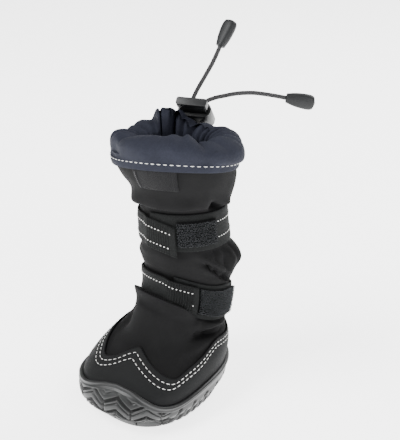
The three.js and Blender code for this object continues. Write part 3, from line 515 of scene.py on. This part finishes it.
# Insole: a thin felt pad, cut to the floor of the last and glued down inside the upper. Its edge is
# rounded over, so it is thinner there.
INSOLE_THICK = 0.0025
across = np.linspace(0, 1, 12)[None, :, None]
rim = skin(turns, np.full((1, 1), SOLE_FLOOR + SEAT), -UPPER_WALL - SEAT)
rim[..., 2] = 0
pad = rim * across
top, under = pad.copy(), pad.copy()
top[..., 2] = SOLE_FLOOR + SEAT + INSOLE_THICK - 0.0008 * across[..., 0] ** 12
under[..., 2] = SOLE_FLOOR + SEAT + 0.0004 * across[..., 0] ** 12
insole = loft("insole_felt_pad", np.concatenate([under, top[:, ::-1]], 1))

felt, place, cloth = start("felt")
hair = place.noise(1500, 4, 0.7)
place.surface(hair.mix((0.010, 0.011, 0.014, 1), (0.020, 0.021, 0.027, 1)), 0.95, hair, 0.0003,
              specular_ior_level=0.1)
fit(insole, felt, "insole_fabric", "insole")

# Rand: a band of smooth coated fabric lapped over the seam of the sole and the vamp, cut to a wave at the
# top and held by two rows of thick white lockstitch.
RAND_HALF, RAND_LAP = 0.0006, 0.0006
ROW_INSETS = (0.0022, 0.0043)
share = np.linspace(0, 1, 40)[None, :]
low, high = lip(TURNS) - RAND_LAP, rand_edge(TURNS)
z = low + share * (high - low)
round_edge = np.sqrt(1 - np.clip(share * 1.04 - 0.04, 0, 1) ** 40)
from_top = high - z
quilting = sum(-0.00022 * gauss((from_top - inset_row) / 0.0006) for inset_row in ROW_INSETS)
face = skin(TURNS, z, SEAT + RAND_HALF + RAND_HALF * round_edge + quilting)
back = skin(TURNS, z[:, ::3], SEAT + RAND_HALF - RAND_HALF * round_edge[:, ::3])
rand = loft("rand_coated_fabric", np.concatenate([face, back[:, ::-1]], 1))

coated_fabric, place, cloth = start("coated_fabric")
pebble = place.node("TexVoronoi", {"feature": "DISTANCE_TO_EDGE"}, {"Vector": place, "Scale": 1500}, 0)
blotch = place.noise(70, 3)
place.surface(blotch.mix((0.0050, 0.0053, 0.0055, 1), (0.0078, 0.0083, 0.0086, 1)), 0.62 + 0.12 * blotch,
              pebble.between(0.0, 0.25) * 0.5 + blotch, 0.00008, specular_ior_level=0.12)
fit(rand, coated_fabric, "rand_fabric", "rand")


def threads(name, paths, normals, radius, sides=6, flat=1.0):
    """Closed tubes along many paths at once: a ring of points at each step, radius times (cos across,
    flat times sin along the normal), pinched to a point at both ends."""
    along = np.gradient(paths, axis=1)
    along = along / np.linalg.norm(along, axis=-1, keepdims=True)
    across = np.cross(along, normals)
    across = across / np.linalg.norm(across, axis=-1, keepdims=True)
    up = np.cross(across, along)
    angle = np.linspace(0, 2 * np.pi, sides, endpoint=False)[:, None]
    reach = np.broadcast_to(radius, paths.shape[:2])[:, :, None, None]
    spoke = np.cos(angle) * across[:, :, None] + flat * np.sin(angle) * up[:, :, None]
    rings = paths[:, :, None] + reach * spoke
    rings[:, [0, -1]] = paths[:, [0, -1], None]
    many, steps = paths.shape[:2]
    i, k, j = np.meshgrid(np.arange(many), np.arange(steps - 1), np.arange(sides), indexing="ij")
    here, turned = (i * steps + k) * sides, (j + 1) % sides
    faces = np.stack([here + j, here + turned, here + sides + turned, here + sides + j], -1).reshape(-1, 4)
    mesh = bpy.data.meshes.new(name)
    mesh.from_pydata(rings.reshape(-1, 3).tolist(), [], faces.tolist())
    length = np.cumsum(np.linalg.norm(np.diff(paths, axis=1, prepend=paths[:, :1]), axis=-1), 1) * 1000
    corners = np.stack([k, k, k + 1, k + 1], -1).reshape(-1, 4)
    turning = np.stack([j, j + 1, j + 1, j], -1).reshape(-1, 4) / sides
    which = np.broadcast_to(i[..., None], i.shape + (4,)).reshape(-1, 4)
    grid = np.stack([turning, length[which, corners]], -1)
    mesh.uv_layers.new(name="cloth").data.foreach_set("uv", grid.ravel())
    return weld(name, mesh)


def stitches(name, turn, z, off, pitch, length, thick):
    """A row of stitches along a line on the boot: each a short thread that rises from the cloth and dips
    back into it as half a sine."""
    line, normal = skin(turn, z, off), outward(turn, z)
    run = np.append(0, np.cumsum(np.linalg.norm(np.diff(line, axis=0), axis=1)))
    starts = np.arange(pitch / 2, run[-1] - length, pitch)
    share = np.linspace(0, 1, 6)
    at = starts[:, None] + share * length
    paths, ups = (np.stack([np.interp(at, run, row[:, k]) for k in range(3)], -1) for row in (line, normal))
    paths = paths + ups * (np.sin(np.pi * share) * thick * 0.5 - thick * 0.15)[None, :, None]
    radius = thick / 2 * np.array([0, 0.8, 1, 1, 0.8, 0])
    return threads(name, paths, ups, radius[None, :], 6, 0.7)


def inset(turn, height, distance):
    """A line on the boot a distance inside an edge, square to it: the edge moved along its own normal."""
    edge = skin(turn, height)
    run = np.append(0, np.cumsum(np.linalg.norm(np.diff(edge, axis=0)[:, :2], axis=1)))
    slope = np.gradient(height, run)
    square = np.sqrt(1 + slope**2)
    return turn + distance * slope / square / np.gradient(run, turn), height - distance / square


white_thread, place, cloth = start("white_thread")
twist = (cloth.part(0) * 6.283 + cloth.part(1) * 7.0).sine()
place.surface(place.noise(900, 2).mix((0.55, 0.55, 0.53, 1), (0.80, 0.80, 0.78, 1)), 0.6, twist, 0.00008)
round_turns = np.linspace(-180, 180, 1440)
for number, distance in enumerate(ROW_INSETS):
    turn, height = inset(round_turns, rand_edge(round_turns), distance)
    row = stitches(f"rand_stitches_{number}", turn, height, SEAT + 0.00115, 0.0033, 0.0025, 0.0005)
    fit(row, white_thread, "rand_fabric")

# Straps: each is a sewn tab of black webbing with a strip of fuzzy loop tape on it, and a free webbing
# strap with hook tape behind its end that comes round the other side and grips the loops.
TAPE, WEBBING = 0.0012, 0.0015
PER_DEGREE = 0.00063  # metres of strap to a degree round the shaft
RIB_PITCH = 0.0019
RIB_HEIGHT = {"upper": 0.00022, "lower": 0.00040}
STRAP_SEAM = (0.0024, 0.0012, 0.0007)  # pitch, length and thickness of a stitch
STRAP_ROW, TAB_ROW = 0.0047, 0.0049  # from the middle of the strap or tab to a row of stitches


def droop(strap, turn):
    """How far the free strap hangs below its tab: its droop times the square of the share of the way
    along the last 62 degrees."""
    return strap["droop"] * np.clip(1 + (turn - strap["strap_to"]) / 62, 0, 1) ** 2


def strip(name, strap, start_turn, stop_turn, width, low, thick, relief=None):
    """A band round the boot: its two faces part by its thickness times the square root of 1 - |across|^14,
    closed the same way at its ends, with relief added to the outer face."""
    turn = np.linspace(start_turn, stop_turn, int(abs(stop_turn - start_turn) * 1.6) + 8)[:, None]
    across = np.sin(np.linspace(-np.pi / 2, np.pi / 2, 44))[None, :]
    ends = np.minimum(turn - start_turn, stop_turn - turn) / 0.9
    body = np.sqrt(np.clip(1 - across**14, 0, 1)) * np.sqrt(1 - (1 - np.clip(ends, 0, 1)) ** 2)
    z = strap_middle(strap, turn) + across * width / 2
    if callable(low):
        z, low = z - droop(strap, turn), low(turn)
    raised = 0 if relief is None else relief(turn, across) * body
    face = skin(turn, z, low + thick / 2 + thick / 2 * body + raised)
    back = skin(turn, z, low + thick / 2 - thick / 2 * body)
    return loft(name, np.concatenate([face, back[:, ::-1]], 1), ring=False)


webbing, place, cloth = start("webbing")
rows = (cloth.part(1) * 7.5).sine() * (cloth.part(0) * 3.4).sine()
lint = place.noise(1800, 3)
weave = (rows * 0.25 + lint * 0.8).between(0.1, 0.9)
place.surface(weave.mix((0.003, 0.0033, 0.0033, 1), (0.017, 0.0182, 0.0182, 1)), 0.8,
              rows * 0.6 + lint * 0.6, 0.00025, specular_ior_level=0.1)

loop_tape, place, cloth = start("loop_tape")
knit = (cloth.part(1) * 5.6).sine() * (cloth.part(0) * 5.6).sine()
place.surface(knit.between(-0.6, 0.9).mix((0.0015, 0.0017, 0.0017, 1), (0.005, 0.0055, 0.006, 1)), 0.95,
              knit, 0.0003, specular_ior_level=0.1)

loop_fibre, place, cloth = start("loop_fibre")
place.surface(place.noise(500, 1).mix((0.008, 0.009, 0.010, 1), (0.062, 0.067, 0.072, 1)), 0.6,
              specular_ior_level=0.2)


def loops(name, strap, start_turn, stop_turn, width, low):
    """The fuzz of loop tape: small arches of fibre in staggered rows, each half a circle turned at random."""
    random = np.random.default_rng(7)
    column_pitch, row_pitch = 0.00095, 0.00105
    columns = np.arange(start_turn + 1, stop_turn - 0.5, column_pitch / PER_DEGREE)
    rows = np.arange(-width / 2 + 0.0007, width / 2 - 0.0004, row_pitch)
    turn, up = (a.ravel() for a in np.meshgrid(columns, rows))
    turn = turn + random.uniform(-0.5, 0.5, turn.size) + 0.75 * (np.round(up / row_pitch) % 2)
    up = up + random.uniform(-0.0003, 0.0003, up.size)
    z = strap_middle(strap, turn) + up
    foot, normal = skin(turn, z, low), outward(turn, z)
    yaw, tall = random.uniform(0, np.pi, turn.size)[:, None], random.uniform(0.6, 1.15, turn.size)
    beside = np.cross(normal, [0, 0, 1])
    beside = beside / np.linalg.norm(beside, axis=-1, keepdims=True)
    aside = np.cos(yaw) * beside + np.sin(yaw) * np.cross(beside, normal)
    bend = np.linspace(0, np.pi, 7)
    paths = foot[:, None] + 0.00048 * np.cos(bend)[:, None] * aside[:, None] \
        + 0.0008 * tall[:, None, None] * np.sin(bend)[:, None] * normal[:, None]
    return threads(name, paths, np.cross(aside, normal)[:, None] + 0 * paths, 0.00013, 4)


for name, strap in STRAPS.items():
    out = SEAT + TAPE
    tab = strip(f"{name}_tab", strap, strap["tab_from"], 177, TAB_WIDTH, SEAT, TAPE)
    fit(tab, webbing, "webbing", f"{name}_strap_tab")
    stretch = strap["strap_to"] + 1.5, strap["tape_to"], strap["tape_width"]
    tape = strip(f"{name}_tape", strap, *stretch, out + SEAT * 0.3, TAPE)
    fit(tape, loop_tape, "loop_tape", f"{name}_strap_loop_tape")
    fuzz = loops(f"{name}_tape_loops", strap, *stretch, out + SEAT * 0.3 + TAPE)
    fit(fuzz, loop_fibre, "loop_tape")

    def lapped(turn):
        """The webbing lies on the upper, eased off the hollow of the ankle, and climbs on to the tab."""
        return SEAT + strap["stand"] * gauss(turn / 40) + out * ease((turn - strap["tab_from"] + 14) / 14)

    def ribs(turn, across):
        """Sine ribs across the strap, one pitch apart, that fade away from its end, the folded end itself
        and a shallow groove along each edge."""
        back_from_end = (strap["strap_to"] - turn) * PER_DEGREE
        fading = ease((0.030 - back_from_end) / 0.012) * (1 - ease((0.005 - back_from_end) / 0.001))
        ridge = RIB_HEIGHT[name] * np.sin(back_from_end * 2 * np.pi / RIB_PITCH) * fading
        hem = 0.0005 * ease((0.0045 - back_from_end) / 0.0008)
        return ridge + hem - 0.00025 * gauss((np.abs(across) - 0.84) / 0.05)

    free = strip(f"{name}_webbing", strap, -177, strap["strap_to"], STRAP_WIDTH, lapped, WEBBING, ribs)
    fit(free, webbing, "webbing", f"{name}_strap_webbing")
    for number, (side, begin, end) in enumerate(strap["rows"]):
        turn = np.linspace(begin, end, 900)
        z = strap_middle(strap, turn) - droop(strap, turn) + side * STRAP_ROW
        row = stitches(f"{name}_strap_stitches_{number}", turn, z, lapped(turn) + WEBBING, *STRAP_SEAM)
        fit(row, white_thread, "webbing")
    for side in (-1, 1):
        turn = np.linspace(strap["tape_to"] + 2, 174, 500)
        z = strap_middle(strap, turn) + side * TAB_ROW
        row = stitches(f"{name}_tab_stitches_{side + 1}", turn, z, out, *STRAP_SEAM)
        fit(row, white_thread, "webbing")

# Label: a bare patch of dark woven tape, folded under at both ends and sewn down beneath the hem. Its two
# faces part by its thickness times the square root of 1 - |across|^20.
LABEL_FROM, LABEL_TO, LABEL_MIDDLE, LABEL_HEIGHT, LABEL_HALF = -8, 35, 0.14425, 0.0109, 0.0004
turn = np.linspace(LABEL_FROM, LABEL_TO, 120)[:, None]
across = np.sin(np.linspace(-np.pi / 2, np.pi / 2, 60))[None, :]
z = LABEL_MIDDLE + across * LABEL_HEIGHT / 2
to_end = np.minimum(turn - LABEL_FROM, LABEL_TO - turn)
body = np.sqrt(np.clip(1 - across**20, 0, 1)) * np.sqrt(1 - (1 - np.clip(to_end, 0, 1)) ** 2)
folded = 0.00018 * ease((4.5 - to_end) / 0.6)
face = skin(turn, z, SEAT + LABEL_HALF + (LABEL_HALF + folded) * body)
back = skin(turn, z, SEAT + LABEL_HALF - LABEL_HALF * body)
label = loft("label_bare_patch", np.concatenate([face, back[:, ::-1]], 1), ring=False)

patch_weave, place, cloth = start("patch_weave")
twill = ((cloth.part(0) + cloth.part(1)) * 11.0).sine()
place.surface(twill.between(-1, 1).mix((0.0042, 0.0042, 0.0048, 1), (0.0080, 0.0080, 0.0090, 1)), 0.7,
              twill, 0.00008, specular_ior_level=0.12)
fit(label, patch_weave, "label_fabric", "label")

dark_thread, place, cloth = start("dark_thread")
place.surface(place.noise(900, 2).mix((0.05, 0.05, 0.052, 1), (0.11, 0.11, 0.115, 1)), 0.6)
z = np.linspace(0.1392, 0.1492, 60)
row = stitches("label_stitches", -5.6 + 0 * z, z, SEAT + 0.00098, 0.0012, 0.0008, 0.0004)
fit(row, dark_thread, "label_fabric")

# Collar: a puffy cuff of soft navy cloth over foam, rolled inwards over the shaft's top edge, gathered by
# the drawcord inside it and topstitched down to a flat hem.
COLLAR_BULGE, COLLAR_DEPTH, CREST_HEIGHT, CREST_SWAY, CREST_BEARING = 0.0045, 0.017, 0.170, 0.0035, 40
LINING_DEPTH, LINING_THICK, HEM_ROW = 0.036, 0.0008, 0.1538
LOCK_TURN, LOCK_DENT, LOCK_SPREAD, LOCK_SAG = 197, 0.0078, 30, 0.0022
COLLAR_SECTION = [  # out, bulge, up, gather
    (-0.50, 0, -0.22, 0.2), (-0.86, 0, -0.28, 0.7), (-1.00, 0, 0.26, 1), (-0.88, 0, 0.72, 1),
    (-0.62, 0, 0.94, 1), (-0.36, 0, 1.00, 0.9), (-0.10, 0.2, 0.90, 0.7), (0, 0.75, 0.62, 0.4),
    (0, 1, 0.28, 0.2), (0, 0.85, -0.06, 0.1),
]
PLEATS = [  # turn, degrees wide, metres deep
    (228, 1.4, 0.0026), (207, 4, 0.0062), (193, 3, 0.0024), (182, 5, 0.0044), (168, 2.5, 0.0020),
    (159, 4, 0.0040), (146, 2.5, 0.0030), (136, 3, 0.0014), (124, 5, 0.0020), (268, 2.5, 0.0036),
    (258, 2, 0.0016), (281, 3.5, 0.0026), (108, 7, 0.0014), (84, 6, 0.0012), (62, 5, 0.0016),
    (22, 6, 0.0008), (-30, 8, 0.0014), (-54, 4, 0.0020),
]
LOBES = {  # how far the crest stands over or under its own even sway, in metres
    "turn": [-180, -168, -160, -152, -142, -128, -123, -119, -110, -100, -90, -80, -70, -60, -50, -38, -24,
             -10, 3, 14, 27, 38, 46, 54, 62, 72, 84, 96, 110, 130, 150, 165, 180],
    "up": [0, 0.002, 0.0045, 0.0055, 0.002, 0, -0.0066, -0.0070, -0.0058, -0.0066, -0.0080, -0.0062, -0.0025,
           0.0012, 0.0018, 0.0014, 0.0014, 0.002, 0.0022, 0.0016, 0.0028, 0.0008, 0.0024, 0.0004, -0.0018,
           -0.001, 0.0002, 0.0020, 0.0030, 0.0028, 0.0018, -0.0005, 0],
}


def through(points, steps):
    """A closed Catmull-Rom curve through the points of each section: cubic with the slope at a point half
    the way between its neighbours."""
    before, after, far = (np.roll(points, shift, 1) for shift in (1, -1, -2))
    t = (np.arange(steps) / steps)[None, None, :, None]
    a, b, c, d = (p[:, :, None] for p in (before, points, after, far))
    curve = 0.5 * (2 * b + (c - a) * t + (2 * a - 5 * b + 4 * c - d) * t**2 + (3 * b - a - 3 * c + d) * t**3)
    return curve.reshape(len(points), -1, 3)


section = np.array(COLLAR_SECTION)
top_edge = skin(TURNS, np.full((1, 1), SHAFT_TOP))
out = outward(TURNS, np.full((1, 1), SHAFT_TOP))
out[..., 2] = 0
out = out / np.linalg.norm(out, axis=-1, keepdims=True)
sway = CREST_SWAY * np.cos(2 * np.radians(TURNS - CREST_BEARING))
crest = CREST_HEIGHT + sway + read(LOBES, "turn", "up", wrap(TURNS))
dent = gauss(wrap(TURNS - LOCK_TURN) / LOCK_SPREAD)
climb = crest - top_edge[..., 2] - LOCK_SAG * dent
pleat = sum(deep * np.exp(-np.abs(wrap(TURNS - at) / wide) ** 1.4) for at, wide, deep in PLEATS)
angle = np.radians(TURNS)
puff = 0.0009 * np.sin(4 * angle + 1) + 0.0006 * np.sin(7 * angle + 2.4) + 0.0004 * np.sin(11 * angle)
pressed = LOCK_DENT * dent * ease(section[:, 2] / 0.6) * (section[:, 0] > -0.5)
gather = section[:, 3] * pleat
pinch = np.where(section[:, 0] < -0.6, 0.9, -0.7) * gather
fullness = COLLAR_BULGE * (0.6 + 0.4 * np.cos(np.radians(TURNS - 130))) + puff
reach = section[:, 0] * COLLAR_DEPTH + section[:, 1] * fullness - pressed + pinch
roll = top_edge + out * reach[..., None]
roll[..., 2] = top_edge[..., 2] + section[:, 2] * climb - gather * 0.9
hem = skin(TURNS, np.array([[HEM_HEIGHT + HEM_OVERLAP / 2, HEM_HEIGHT]]), SEAT + 0.0016)
inside = skin(TURNS, np.array([[HEM_HEIGHT, HEM_HEIGHT + HEM_OVERLAP / 2, SHAFT_TOP]]), SEAT)
over = skin(TURNS, np.full((1, 1), SHAFT_TOP), np.array([[SEAT, -UPPER_WALL - SEAT]]))
over[..., 2] += 2 * SEAT
collar = loft("collar_padded_cuff", through(np.concatenate([inside, over, roll, hem], 1), 7))

navy_cloth, place, cloth = start("navy_cloth")
jersey = (cloth.part(0) * 8.0).sine() * (cloth.part(1) * 8.0).sine()
wrinkle = place.noise(110, 3, 0.6)
nap = place.noise(1700, 2)
worn = (wrinkle * 0.5 + nap * 0.5).between(0.3, 0.7)
place.surface(worn.mix((0.0125, 0.0137, 0.0205, 1), (0.0180, 0.0197, 0.0290, 1)), 0.75,
              jersey * 0.2 + nap * 0.5 + wrinkle * 5, 0.00014, specular_ior_level=0.08)
fit(collar, navy_cloth, "collar_fabric", "collar")

z = SHAFT_TOP - 0.001 - LINING_DEPTH * np.linspace(0, 1, 40)[None, :]
inner_face = creases(TURNS, z) - UPPER_WALL - 0.0002
face, back = (skin(TURNS, z, inner_face - depth) for depth in (0, LINING_THICK))
lining = loft("collar_lining", np.concatenate([face, back[:, ::-1]], 1))
fit(lining, navy_cloth, "collar_fabric")

proud = SEAT + 0.0021 + 0.0006 * np.cos(np.radians(round_turns - 130))
row = stitches("hem_stitches", round_turns, HEM_ROW + 0 * round_turns, proud, 0.0037, 0.0026, 0.0005)
fit(row, white_thread, "collar_fabric")

# Cord lock: a moulded plastic body with two cord holes and a sprung button, which grips both tails of the
# cord. It sits in a saddle at the back of the collar.
LOCK_TILT = Matrix.Rotation(np.radians(20), 4, "Z") @ Matrix.Rotation(np.radians(44), 4, "X")
LOCK_MIDDLE = skin(np.array(float(LOCK_TURN)), np.array(SHAFT_TOP)) + [0.0056, -0.0053, 0.0185]
LOCK_PLACE = Matrix.Translation(LOCK_MIDDLE) @ LOCK_TILT

lock_plastic, place, cloth = start("lock_plastic")
mould = place.noise(1900, 2)
sheen = place.noise(120, 2)
place.surface(sheen.mix((0.006, 0.0063, 0.007, 1), (0.011, 0.0117, 0.0127, 1)), 0.34 + 0.16 * sheen,
              mould, 0.00003, specular_ior_level=0.35)
for node, body in (("cord_lock_body", "boot"), ("cord_lock_button", "lock_button")):
    part = weld(node + "_moulded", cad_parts[node].data.copy())
    work = bmesh.new()
    work.from_mesh(part.data)
    bmesh.ops.remove_doubles(work, verts=work.verts, dist=2e-5)
    bmesh.ops.dissolve_limit(work, angle_limit=0.02, verts=work.verts, edges=work.edges)
    work.to_mesh(part.data)
    work.free()
    part.data.shade_smooth()
    bevel = part.modifiers.new("moulded edges", "BEVEL")
    bevel.width, bevel.segments, bevel.limit_method, bevel.angle_limit = 0.0004, 3, "ANGLE", 0.6
    bevel.harden_normals = True
    fit(part, lock_plastic, "lock_plastic", node, body=body)

# Drawcord: round braided elastic. Its two tails leave the collar, pass through the lock and stand out on
# their own stiffness, each ending in a moulded grip.
CORD = 0.0026
GRIP_LENGTH, GRIP_START, GRIP_NECK, GRIP_WIDE, GRIP_THICK = 0.0182, 0.0012, 0.0046, 0.0049, 0.0019
LOCK_HOLES = {"left": -0.0046, "right": 0.0046}
HOLE_HALF, HOLE_UP = 0.00555, -0.0139
CORD_ROUTES = {
    "left": [[-0.0094, 0.0124, -0.0042], [-0.0095, 0.017, 0.001], [-0.0085, 0.024, 0.0085],
             [-0.0073, 0.031, 0.0165], [-0.0068, 0.0381, 0.0254]],
    "right": [[-0.0012, 0.0163, -0.0035], [0.0015, 0.02, -0.0018], [0.0061, 0.0246, -0.0006],
              [0.0119, 0.0303, 0.0005], [0.019, 0.0363, 0.0006], [0.0247, 0.0405, -0.0002],
              [0.0309, 0.0448, -0.0014], [0.0358, 0.0481, -0.0025]],
}
END_SHAPE = {
    "along": [0, 0.08, 0.35, 0.66, 0.84, 0.93, 0.98, 1.0],
    "wide": [0, 0.30, 0.78, 1.00, 0.92, 0.62, 0.12, -0.95],
    "thick": [0, 0.35, 0.90, 1.00, 0.90, 0.55, 0.05, -0.95],
}


def spline(points, steps):
    """A centripetal Catmull-Rom curve through points: the knots are as far apart as the square root of
    the distance between the points."""
    points = np.vstack([2 * points[0] - points[1], points, 2 * points[-1] - points[-2]])
    a, b, c, d = points[:-3], points[1:-2], points[2:-1], points[3:]
    first, middle, last = (np.linalg.norm(q - p, axis=1)[:, None] ** 0.5 for p, q in ((a, b), (b, c), (c, d)))
    leave = ((b - a) / first - (c - a) / (first + middle) + (c - b) / middle) * middle
    meet = ((c - b) / middle - (d - b) / (middle + last) + (d - c) / last) * middle
    t = np.linspace(0, 1, steps, endpoint=False)[:, None, None]
    curve = (2 * t**3 - 3 * t**2 + 1) * b + (t**3 - 2 * t**2 + t) * leave \
        + (3 * t**2 - 2 * t**3) * c + (t**3 - t**2) * meet
    return np.vstack([curve.transpose(1, 0, 2).reshape(-1, 3), points[-2]])


braid, place, cloth = start("braid")
turned, along = cloth.part(0) * 37.7, cloth.part(1) * 3.6
strand = (turned + along).sine().math("MAXIMUM", (turned - along).sine())
place.surface(strand.between(-0.4, 1).mix((0.012, 0.012, 0.013, 1), (0.048, 0.047, 0.049, 1)), 0.7,
              strand, 0.00022, specular_ior_level=0.25)

grip_plastic, place, cloth = start("grip_plastic")
speck = place.noise(2400, 2)
cloudy = place.noise(150, 2)
place.surface(cloudy.mix((0.0065, 0.0070, 0.0076, 1), (0.0125, 0.0132, 0.0142, 1)), 0.42 + 0.14 * speck,
              speck, 0.00003, specular_ior_level=0.25)

for side, x in LOCK_HOLES.items():
    hole = [LOCK_PLACE @ Vector((x, reach, HOLE_UP)) for reach in (-HOLE_HALF, 0, HOLE_HALF)]
    line = spline(np.array([*hole, *(LOCK_MIDDLE + CORD_ROUTES[side])]), 24)
    ups = np.broadcast_to([0.3, -0.3, 0.9], line.shape)
    taper = np.sqrt(np.clip(np.minimum(np.arange(len(line)), np.arange(len(line))[::-1]) / 2, 0, 1))
    tail = threads(f"drawcord_tail_{side}", line[None], ups[None], CORD / 2 * taper[None], 28)
    along = line[-1] - line[-2]
    along = along / np.linalg.norm(along)
    wide = np.cross([0, 0, 1], along)
    wide = wide / np.linalg.norm(wide)
    if side == "right":
        wide = -np.cross(wide, along)
    thick = np.cross(along, wide)
    share = np.concatenate([np.linspace(0, 0.94, 48), np.linspace(0.95, 1, 12)])
    neck = GRIP_NECK + 0.0006 * gauss((share - 0.03) / 0.02)
    broad = neck + GRIP_WIDE * read(END_SHAPE, "along", "wide", share)
    deep = neck + GRIP_THICK * read(END_SHAPE, "along", "thick", share)
    close = np.sqrt(np.clip((1 - share) / 0.06, 0, 1))
    close[:2] = [0, 0.9]
    angle = np.radians(np.arange(0, 360, 6))[:, None]
    cosine, sine = np.cos(angle), np.sin(angle)
    broad_side = np.sign(cosine) * np.abs(cosine) ** 0.85 * np.maximum(broad, 0.004) / 2 * close
    deep_side = np.sign(sine) * np.abs(sine) ** 0.85 * np.maximum(deep, 0.003) / 2 * close
    middle = line[-1] + (share * GRIP_LENGTH - GRIP_START)[None, :, None] * along
    end = loft(f"cord_grip_{side}", middle + broad_side[..., None] * wide + deep_side[..., None] * thick)
    fit(end, grip_plastic, "cord_end_plastic", f"cord_end_{side}")
    fit(tail, braid, "cord", f"drawcord_{side}")

# Studio: a pale floor, a broad soft key from the left front, a weak fill and the photograph's camera,
# 0.54 m from the boot at azimuth 40, elevation 30, turned to centre the one boot.
mesh = bpy.data.meshes.new("floor")
mesh.from_pydata([(-4, -4, 0), (4, -4, 0), (4, 4, 0), (-4, 4, 0)], [], [(0, 1, 2, 3)])
floor = bpy.data.objects.new("floor", mesh)
bpy.context.scene.collection.objects.link(floor)
pale_floor, place, cloth = start("pale_floor")
place.surface(place.noise(3, 2).mix((0.93, 0.93, 0.93, 1), (0.95, 0.95, 0.95, 1)), 0.8,
              emission_color=(1, 1, 1, 1), emission_strength=3.0)
floor.data.materials.append(pale_floor)

world = bpy.data.worlds.new("studio")
world.use_nodes = True
world.node_tree.nodes["Background"].inputs[0].default_value = (1, 1, 1, 1)
world.node_tree.nodes["Background"].inputs[1].default_value = 0.5
bpy.context.scene.world = world
for name, spot, size, power in (("key", (-0.45, -0.70, 1.10), 0.6, 26), ("fill", (0.9, -0.3, 0.6), 0.6, 7),
                                ("back", (0.2, 0.9, 0.9), 0.7, 14)):
    lamp = bpy.data.objects.new(name, bpy.data.lights.new(name, "AREA"))
    lamp.data.energy, lamp.data.size = power, size
    lamp.location = spot
    lamp.rotation_euler = (Vector((0, 0, 0.08)) - Vector(spot)).to_track_quat("-Z", "Y").to_euler()
    bpy.context.scene.collection.objects.link(lamp)

camera = bpy.data.objects.new("camera", bpy.data.cameras.new("camera"))
camera.data.lens, camera.data.clip_start = 73.5, 0.01
camera.location = (0.3006, -0.35824, 0.345)
AIM = Vector((0.0099, 0.0333, 0.1082))
camera.rotation_euler = (AIM - camera.location).to_track_quat("-Z", "Y").to_euler()
bpy.context.scene.collection.objects.link(camera)
bpy.context.scene.camera = camera
